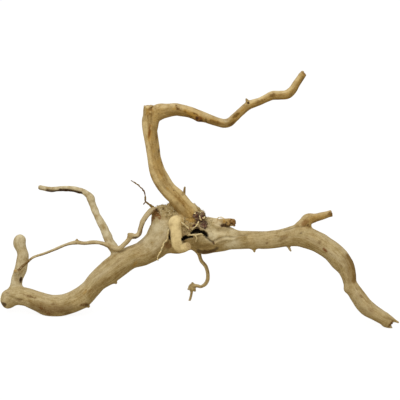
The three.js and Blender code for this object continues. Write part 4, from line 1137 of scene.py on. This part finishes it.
class DRIFTWOOD_OT_body(bpy.types.Operator):
    """Grow the body of the wood: crown, arms, branch, stubs and roots in one skin"""

    bl_idname = "driftwood.body"
    bl_label = "Body of wood"

    def execute(self, context):
        sizes = context.scene.driftwood_sizes
        limbs = [Limb(**limb) for limb in LIMBS.values()] + [Limb(stations) for stations in SPURS]
        hollows = slot_limbs()
        body = tubes("wood_body", [limb.rings(BODY_STEP) for limb in limbs], TUBE_SIDES)
        remesh(body, sizes.voxel)
        tool = tubes("hollow", [limb.rings(HOLLOW_STEP) for limb in hollows], TUBE_SIDES)
        remesh(tool, HOLLOW_VOXEL * MM)
        carve(body, tool)
        remesh(body, sizes.voxel)

        grown = grow(limbs, hollows, corners_of(body), sizes.fillet / MM)
        self.finish_skin(body, sizes, limbs, *grown)
        self.thin_out(body)
        self.lay_grain(body, limbs, sizes.fillet / MM)
        body.data.materials.clear()
        body.data.materials.append(weathered_wood(context.scene.driftwood_colours))
        pick(body)
        bpy.ops.object.shade_smooth()
        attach(body, BODY)
        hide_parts(NODE)
        return {"FINISHED"}

    def thin_out(self, body):
        """Takes triangles away where the skin is plain."""
        triangles = sum(len(face.vertices) - 2 for face in body.data.polygons)
        if triangles > MOST_TRIANGLES:
            pick(body)
            modifier = body.modifiers.new("thin", "DECIMATE")
            modifier.ratio = MOST_TRIANGLES / triangles
            modifier.use_collapse_triangulate = True
            bpy.ops.object.modifier_apply(modifier=modifier.name)

    def lay_grain(self, body, limbs, fillet):
        """Notes on each face's corners where they lie along two limbs, the same two for all of a face."""
        places = corners_of(body)
        skin = Skin(limbs, places)
        weight = skin.blend(GRAIN_SPREAD * fillet, GRAIN_SPREAD)[2]
        corner = np.empty(len(body.data.loops), np.int32)
        body.data.loops.foreach_get("vertex_index", corner)
        starts, counts = np.empty((2, len(body.data.polygons)), np.int32)
        body.data.polygons.foreach_get("loop_start", starts)
        body.data.polygons.foreach_get("loop_total", counts)
        lead = np.repeat(corner[starts], counts)
        own, second = skin.limb[0][corner], skin.limb[1][corner]
        for rank, name in enumerate(("grain", "next_grain")):
            limb = skin.limb[rank][lead]
            local = np.where((own == limb)[:, None], skin.local[0][corner], skin.local[1][corner])
            strange = (own != limb) & (second != limb)
            for number in np.unique(limb[strange]):
                some = np.flatnonzero(strange & (limb == number))
                local[some] = limbs[number].measure(places[corner[some]])[2]
            set_attribute(body, name, local + (limb * GRAIN_SHIFT)[:, None], "CORNER")
        joint = np.where(own == skin.limb[1][lead], 1 - weight[corner], weight[corner])
        set_attribute(body, "joint", joint, "CORNER")

    def finish_skin(self, body, sizes, limbs, places, skin, out, weight, carved):
        """Presses the relief into the skin and notes what the material needs."""
        own = skin.limb[0]
        relieved = of_limbs(RELIEVED)[own]
        rough = blobs(places, ROUGH_PLACES) * smooth_step(*ROUGH_LIMB, relieved)
        bark = blobs(places, BARK_PLACES) * smooth_step(*WHOLE_BARK, noise(places, "bark hole"))
        grains = noise(places, "grain")
        height = relief_of(skin, 0, limbs) * (1 - weight) + relief_of(skin, 1, limbs) * weight
        height = height * sizes.relief * relieved
        height += rough * sizes.bark_depth / MM * grains + bark * noise(places, "bark lump")

        frayed = noise(places, "fray")
        # Painted light: the sides turned up and to the left are painted paler.
        painted_light = of_limbs(PAINTED_LIGHT_SHARE)[own] * smooth_step(*LIT_SIDE, out @ LIGHT_WAY)
        bleached = passing(of_limbs(BLEACHED), skin, weight)
        masks = {name: np.zeros(len(places)) for name in ("rust", "umber", "dark", "gold", "olive")}
        masks["cream"] = passing(of_limbs(CREAM), skin, weight)
        # The bleached mark holds the limbs' bleaching, the bleached places and the painted light of the lit
        # sides.
        masks["bleached"] = np.maximum.reduce([bleached, painted_light, blobs(places, PALE_PLACES)])
        masks["brown"] = blobs(places, DAMP_PLACES) * smooth_step(*DAMP, frayed)

        view = seen(places)
        facing = -(out @ SIGHT)
        self.fold(view, smooth_step(*FOLDED_SIDE, facing), height, masks)
        self.swell(places, height)
        self.stain(view, smooth_step(*STAINED_SIDE, facing), frayed, own, masks)
        # Painted shade in the gaps of the bark.
        gaps = bark * smooth_step(*OPEN_BARK, noise(places, "bark gap"))
        masks["dark"] = np.maximum(masks["dark"], PAINTED_SHADE_DARKNESS * gaps)

        height = self.break_ends(limbs, skin, height, masks)
        height = np.where(carved, HOLLOW_GRAIN * grains, height)
        # Painted shade: the walls of the hollow and of the gap are painted near-black.
        masks["dark"] = np.maximum(masks["dark"], PAINTED_SHADE_DARKNESS * carved)
        places = places + out * height[:, None]
        places[:, 2] = np.maximum(places[:, 2], 0)
        move_corners(body, places)

        tones = np.array([limb.tone for limb in limbs])
        tone = passing(tones, skin, weight) * (PLAIN_TONE + noise(places, "tone"))
        masks["tone"] = np.clip(tone, 0, 1)
        masks["weather"] = np.clip(1 - tone, 0, 1)
        flecks = passing(of_limbs(FLECKS), skin, weight)
        masks["fleck"] = flecks * smooth_step(*FLECKED, noise(places, "fleck"))
        masks["rough"] = rough
        masks["bark"] = np.clip(bark * (PLAIN_BARK + noise(places, "bark shade")), 0, 1)
        for name, mask in masks.items():
            set_attribute(body, name, mask)

    def fold(self, view, front, height, masks):
        """Presses the folds and cracks into the front, and darkens them with painted shade."""
        for half_width, rise, darkness, line in FOLDS:
            share = np.exp(-(along_line(view, line) / half_width) ** 2) * front
            height += rise * share
            masks["dark"] = np.maximum(masks["dark"], darkness * share ** 2)

    def swell(self, places, height):
        """Raises the knots."""
        for across, up, back, radius, rise in KNOTS:
            centre = place([(across, up, back)])[0][0]
            height += rise * np.exp(-(np.linalg.norm(places - centre, axis=1) / radius) ** 2)

    def stain(self, view, faced, frayed, own, masks):
        """Lays the stains and bands on the front, with frayed rims. Some of them are painted shade and
        painted highlights.
        """
        for kind, stains in STAINS.items():
            for across, up, length, width, lean, strength in stains:
                turn = math.radians(lean)
                way = view - (across, up)
                far = np.hypot(
                    (way[:, 0] * math.cos(turn) + way[:, 1] * math.sin(turn)) / length,
                    (way[:, 1] * math.cos(turn) - way[:, 0] * math.sin(turn)) / width,
                )
                share = smooth_step(*STAIN_RIM, far + frayed)
                masks[kind] = np.maximum(masks[kind], strength * share * faced)
        names = list(LIMBS)
        for half_width, strength, kind, only, line in BANDS:
            far = along_line(view, line) / half_width
            share = smooth_step(*BAND_RIM, far + BAND_FRAY * frayed) * faced
            if only:
                share = share * (own == names.index(only))
            masks[kind] = np.maximum(masks[kind], strength * share)

    def break_ends(self, limbs, skin, height, masks):
        """Makes the cut and broken ends jagged and brown. Returns the new height."""
        own, local = skin.limb[0], skin.local[0]
        ends = np.array([limb.along[-1] for limb in limbs])[own]
        cut = np.array([limb.end != "round" for limb in limbs])[own]
        on_end = smooth_step(*END_RIM, local[:, 2] - ends) * cut
        jagged = noise(local * (1, 1, 0), "jag")
        masks["rust"] = np.maximum(masks["rust"], on_end * of_limbs(BROWNED)[own])
        return height * (1 - on_end) + on_end * of_limbs(RAGGED)[own] * jagged


# Marks weaker than this carry no fibre or crumb.
LEAST_MARK = 0.35


def scatter(body, name, count, draw):
    """Places on the body drawn by how strong a mark is there: each with its way out."""
    marks = np.empty(len(body.data.vertices), np.float32)
    body.data.attributes[name].data.foreach_get("value", marks)
    marks = np.where(marks > LEAST_MARK, marks, 0).astype(float)
    picks = draw.choice(len(marks), count, p=marks / marks.sum())
    return corners_of(body)[picks], normals_of(body)[picks]


def seat(body, stations):
    """The places on the body nearest to stations, each with its way out."""
    corners = corners_of(body)
    picks = [np.argmin(((corners - centre) ** 2).sum(axis=1)) for centre in place(stations)[0]]
    return corners[picks], normals_of(body)[picks]


class DRIFTWOOD_OT_hairs(bpy.types.Operator):
    """Grow the hair roots, the loose strands, the splinters and the fibres of the crown"""

    bl_idname = "driftwood.hairs"
    bl_label = "Hair roots and fibres"

    SEED = 5
    ROOT_SIDES = 8
    SPLINTER_SIDES = 6
    FIBRE_SIDES = 4
    # A hair root's ring step, how far it strays and how its radius varies.
    STEP = 1.0
    STRAY = 0.14
    UNEVEN = (0.6, 1.15)
    # A fibre's length, lift, thickness, spread of curl and of wave, how soon it bends back, how deep it
    # starts and how far it tapers.
    LENGTHS = (1.4, 4.2)
    LIFTS = (0.15, 0.9)
    THICKNESSES = (0.1, 0.22)
    CURL = 0.5
    WAVE = 0.08
    WAVE_TURN = 7
    BEND_BACK = 1.2
    SUNK = 0.4
    TAPER = 0.8
    RINGS = 7

    def execute(self, context):
        sizes = context.scene.driftwood_sizes
        colours = context.scene.driftwood_colours
        body = bpy.data.objects["wood_body"]
        draw = np.random.RandomState(self.SEED)
        rings = [self.uneven(stations, draw) for stations in HAIRS]
        roots = tubes("hair_roots", rings, self.ROOT_SIDES)
        roots.data.materials.append(dry_fibre("hair_root", (colours.brown, colours.shade), size=5))
        rings = [self.uneven(stations, draw) for stations in STRANDS]
        strands = tubes("bast_strands", rings, self.ROOT_SIDES)
        strands.data.materials.append(dry_fibre("bast_strand", (colours.pale, colours.cream), size=2))
        rings = [Limb(stations).rings(BODY_STEP) for stations in SPLINTERS]
        splinters = tubes("end_splinters", rings, self.SPLINTER_SIDES)
        splinters.data.materials.append(
            dry_fibre("splintered_wood", (colours.shade, colours.pale), size=3)
        )
        starts = scatter(body, "rough", sizes.fibres, draw)
        rings = [self.fibre(start, out, draw) for start, out in zip(*starts)]
        fibres = tubes("crown_fibres", rings, self.FIBRE_SIDES)
        fibres.data.materials.append(dry_fibre("dry_bast", (colours.shade, colours.pale), size=3))
        for piece in (roots, strands, splinters, fibres):
            pick(piece)
            bpy.ops.object.shade_smooth()
            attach(piece, BODY)
        return {"FINISHED"}

    def uneven(self, stations, draw):
        """The rings of a hair root that is nowhere quite straight or even."""
        return [
            (centre + draw.normal(scale=self.STRAY, size=3), radius * draw.uniform(*self.UNEVEN))
            for centre, radius in Limb(stations).rings(self.STEP)
        ]

    def fibre(self, start, out, draw):
        """A fibre that leaves the bark at a slant and curls back to it."""
        side = unit(np.cross(out, draw.normal(size=3)))
        bend = np.cross(out, side)
        length = draw.uniform(*self.LENGTHS)
        lift = draw.uniform(*self.LIFTS)
        curl = draw.normal(scale=self.CURL)
        wave = draw.normal(scale=self.WAVE)
        thick = draw.uniform(*self.THICKNESSES)
        path = []
        for t in np.linspace(0, 1, self.RINGS):
            bent = curl * t * t + wave * math.sin(self.WAVE_TURN * t)
            way = side * t + bend * bent + out * lift * t * (self.BEND_BACK - t)
            path.append((start - out * self.SUNK + length * way, thick * (1 - self.TAPER * t)))
        return path


class DRIFTWOOD_OT_bark(bpy.types.Operator):
    """Strew the crumbs and flakes of bark over the crown"""

    bl_idname = "driftwood.bark"
    bl_label = "Crumbs of bark"

    SEED = 9
    # Pale crumbs for each dark one, and dark ones for each pale chip.
    PALE_SHARE = 3
    CHIP_SHARE = 8
    # Half lengths of the bits in millimetres, from the many small ones to the few large ones.
    DARK_CRUMBS = (0.4, 2.0)
    PALE_CRUMBS = (0.35, 0.9)
    PALE_CHIPS = (0.4, 1.4)
    BARK_FLAKES = (1.9, 2.8)
    # A bit's width and height as shares of its length, and the knobs on it.
    WIDTHS = (0.4, 0.8)
    HEIGHTS = (0.35, 0.6)
    KNOB = 0.5
    KNOB_CELLS = 1.7
    KNOB_SHIFT = 3.1
    KNOB_SEED = 51

    def execute(self, context):
        sizes = context.scene.driftwood_sizes
        colours = context.scene.driftwood_colours
        body = bpy.data.objects["wood_body"]
        count = sizes.crumbs
        draw = np.random.RandomState(self.SEED)
        spots = scatter(body, "bark", count, draw)
        dark = self.strew("bark_crumbs", *spots, self.DARK_CRUMBS, draw)
        dark.data.materials.append(dry_fibre("crumbling_bark", (colours.bark, colours.crumb), size=2.2))
        spots = scatter(body, "rough", count * self.PALE_SHARE, draw)
        pale = self.strew("pale_crumbs", *spots, self.PALE_CRUMBS, draw)
        pale.data.materials.append(dry_fibre("bast_crumbs", (colours.shade, colours.pale), size=2.5))
        spots = scatter(body, "bark", count // self.CHIP_SHARE, draw)
        chips = self.strew("bark_chips", *spots, self.PALE_CHIPS, draw)
        chips.data.materials.append(dry_fibre("bast_chips", (colours.pale, colours.cream), size=2.5))
        flakes = self.strew("bark_flakes", *seat(body, FLAKES), self.BARK_FLAKES, draw)
        flakes.data.materials.append(dry_fibre("flaking_bark", (colours.bark, colours.flake), size=3))
        for piece in (dark, pale, chips, flakes):
            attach(piece, BODY)
        return {"FINISHED"}

    def strew(self, name, places, outs, size, draw):
        """Knobbly crumbs, each flattened and turned its own way and half sunk in the bark."""
        deselect()
        bpy.ops.mesh.primitive_ico_sphere_add(subdivisions=1, radius=1)
        pattern = bpy.context.object
        ball = np.array([v.co for v in pattern.data.vertices])
        faces = [tuple(f.vertices) for f in pattern.data.polygons]
        bpy.data.objects.remove(pattern)
        corners, sides = [], []
        for number, (seat_at, out) in enumerate(zip(places, outs)):
            length = size[0] + (size[1] - size[0]) * draw.uniform() ** 2
            turn = unit(np.cross(out, draw.normal(size=3)))
            basis = np.stack([turn, np.cross(out, turn), out])
            cells = ball * self.KNOB_CELLS + number * self.KNOB_SHIFT
            knobs = 1 + self.KNOB * lattice_noise(cells, self.KNOB_SEED)
            shares = (1, draw.uniform(*self.WIDTHS), draw.uniform(*self.HEIGHTS))
            shape = ball * knobs[:, None] * length * shares
            sides += [tuple(i + len(ball) * number for i in face) for face in faces]
            corners.append(seat_at + shape @ basis)
        mesh = bpy.data.meshes.new(name)
        mesh.from_pydata((np.vstack(corners) * MM).tolist(), [], sides)
        piece = bpy.data.objects.new(name, mesh)
        bpy.context.collection.objects.link(piece)
        return piece


# The stage: a floor of white paper that glows, in metres, the camera's sensor in millimetres and its reach.
FLOOR_WIDTH = 20
PAPER_GREY = "#595959"
PAPER_WHITE = "#FFFFFF"
PAPER_GLOW = 0.92
SENSOR_WIDTH = 36
VIEW_END = 50
# The light of a warm sky, in linear colours, and one large lamp.
SKY_TOP = (0.82, 0.81, 0.79)
SKY_EDGE = (0.325, 0.264, 0.135)
SKY_BELOW = (0.6, 0.53, 0.4)
# The heights of the sky's colours, from -1 straight down to 1 straight up, and the most of the lowest one.
EDGE_HEIGHT = -0.4
TOP_HEIGHT = 0.75
BELOW_HEIGHT = -0.95
BELOW_MOST = 0.7
LAMP_WIDTH = 1.2
LAMP_POWER = 12.5
LAMP_PLACE = (-0.3, -1.15, 1.25)
LAMP_AIM = (0, 0, 0.1)


class DRIFTWOOD_OT_stage(bpy.types.Operator):
    """Set the floor, the light and the camera"""

    bl_idname = "driftwood.stage"
    bl_label = "Stage"

    def execute(self, context):
        self.lay_floor(context)
        self.set_camera(context)
        self.hang_sky(context)
        self.hang_lamp(context)
        context.scene.view_settings.view_transform = "Standard"
        return {"FINISHED"}

    def lay_floor(self, context):
        """A floor of white paper, which throws no colour onto the wood."""
        deselect()
        bpy.ops.mesh.primitive_plane_add(size=FLOOR_WIDTH)
        floor = context.object
        floor.name = "floor"
        floor.visible_diffuse = False
        floor.visible_glossy = False
        # White paper: dull, so bright that it shows no more than a trace of shade.
        paper = bpy.data.materials.new("white_paper")
        paper.use_nodes = True
        shader = paper.node_tree.nodes["Principled BSDF"]
        shader.inputs["Base Color"].default_value = rgba(linear(PAPER_GREY))
        shader.inputs["Roughness"].default_value = 1.0
        shader.inputs["Emission Color"].default_value = rgba(linear(PAPER_WHITE))
        shader.inputs["Emission Strength"].default_value = PAPER_GLOW
        floor.data.materials.append(paper)

    def set_camera(self, context):
        """The camera at the eye that the limbs are laid out for."""
        camera = bpy.data.cameras.new("camera")
        camera.sensor_width = SENSOR_WIDTH
        camera.lens = SENSOR_WIDTH * EYE_DISTANCE / VIEW_WIDTH
        camera.clip_end = VIEW_END
        eye = bpy.data.objects.new("camera", camera)
        eye.location = (EYE - ORIGIN) * MM
        eye.rotation_euler = (math.pi / 2 - EYE_TILT, 0, 0)
        context.collection.objects.link(eye)
        context.scene.camera = eye

    def hang_sky(self, context):
        """Soft light from all round, white above, warm at the sides and paler again below."""
        world = bpy.data.worlds.new("soft_box")
        world.use_nodes = True
        world.node_tree.nodes.clear()
        node = functools.partial(add_node, world.node_tree)
        way = node("ShaderNodeTexCoord").outputs["Generated"]
        up = node("ShaderNodeSeparateXYZ", None, {0: way}).outputs[2]
        above = node("ShaderNodeMapRange", {"From Min": EDGE_HEIGHT, "From Max": TOP_HEIGHT}, {"Value": up})
        below = node(
            "ShaderNodeMapRange", {"From Min": EDGE_HEIGHT, "From Max": BELOW_HEIGHT, "To Max": BELOW_MOST},
            {"Value": up},
        )
        tint = node(
            "ShaderNodeMix", {"data_type": "RGBA", "A": rgba(SKY_EDGE), "B": rgba(SKY_TOP)},
            {"Factor": above},
        )
        tint = node(
            "ShaderNodeMix", {"data_type": "RGBA", "B": rgba(SKY_BELOW)}, {"Factor": below, "A": tint},
        )
        back = node("ShaderNodeBackground", None, {"Color": tint})
        node("ShaderNodeOutputWorld", None, {"Surface": back.outputs[0]})
        context.scene.world = world

    def hang_lamp(self, context):
        """One large round lamp above and before the wood."""
        light = bpy.data.lights.new("overhead", "AREA")
        light.shape = "DISK"
        light.size = LAMP_WIDTH
        light.energy = LAMP_POWER
        lamp = bpy.data.objects.new("overhead", light)
        lamp.location = LAMP_PLACE
        lamp.rotation_euler = (Vector(LAMP_AIM) - lamp.location).to_track_quat("-Z", "Y").to_euler()
        context.collection.objects.link(lamp)


class DRIFTWOOD_PT_panel(bpy.types.Panel):
    """Sizes, colours and the steps of the making"""

    bl_label = "Driftwood"
    bl_idname = "DRIFTWOOD_PT_panel"
    bl_space_type = "VIEW_3D"
    bl_region_type = "UI"
    bl_category = "Driftwood"

    def draw(self, context):
        for group in (context.scene.driftwood_sizes, context.scene.driftwood_colours):
            for name in group.__annotations__:
                self.layout.prop(group, name)
        for step in STEPS:
            self.layout.operator(step.bl_idname)


STEPS = (DRIFTWOOD_OT_body, DRIFTWOOD_OT_hairs, DRIFTWOOD_OT_bark, DRIFTWOOD_OT_stage)
CLASSES = (DriftwoodSizes, DriftwoodColours, *STEPS, DRIFTWOOD_PT_panel)


def register():
    for kind in CLASSES:
        bpy.utils.register_class(kind)
    bpy.types.Scene.driftwood_sizes = PointerProperty(type=DriftwoodSizes)
    bpy.types.Scene.driftwood_colours = PointerProperty(type=DriftwoodColours)


def unregister():
    del bpy.types.Scene.driftwood_colours
    del bpy.types.Scene.driftwood_sizes
    for kind in reversed(CLASSES):
        bpy.utils.unregister_class(kind)


def main():
    register()
    bpy.ops.driftwood.body()
    bpy.ops.driftwood.hairs()
    bpy.ops.driftwood.bark()
    bpy.ops.driftwood.stage()


if __name__ == "__main__":
    main()
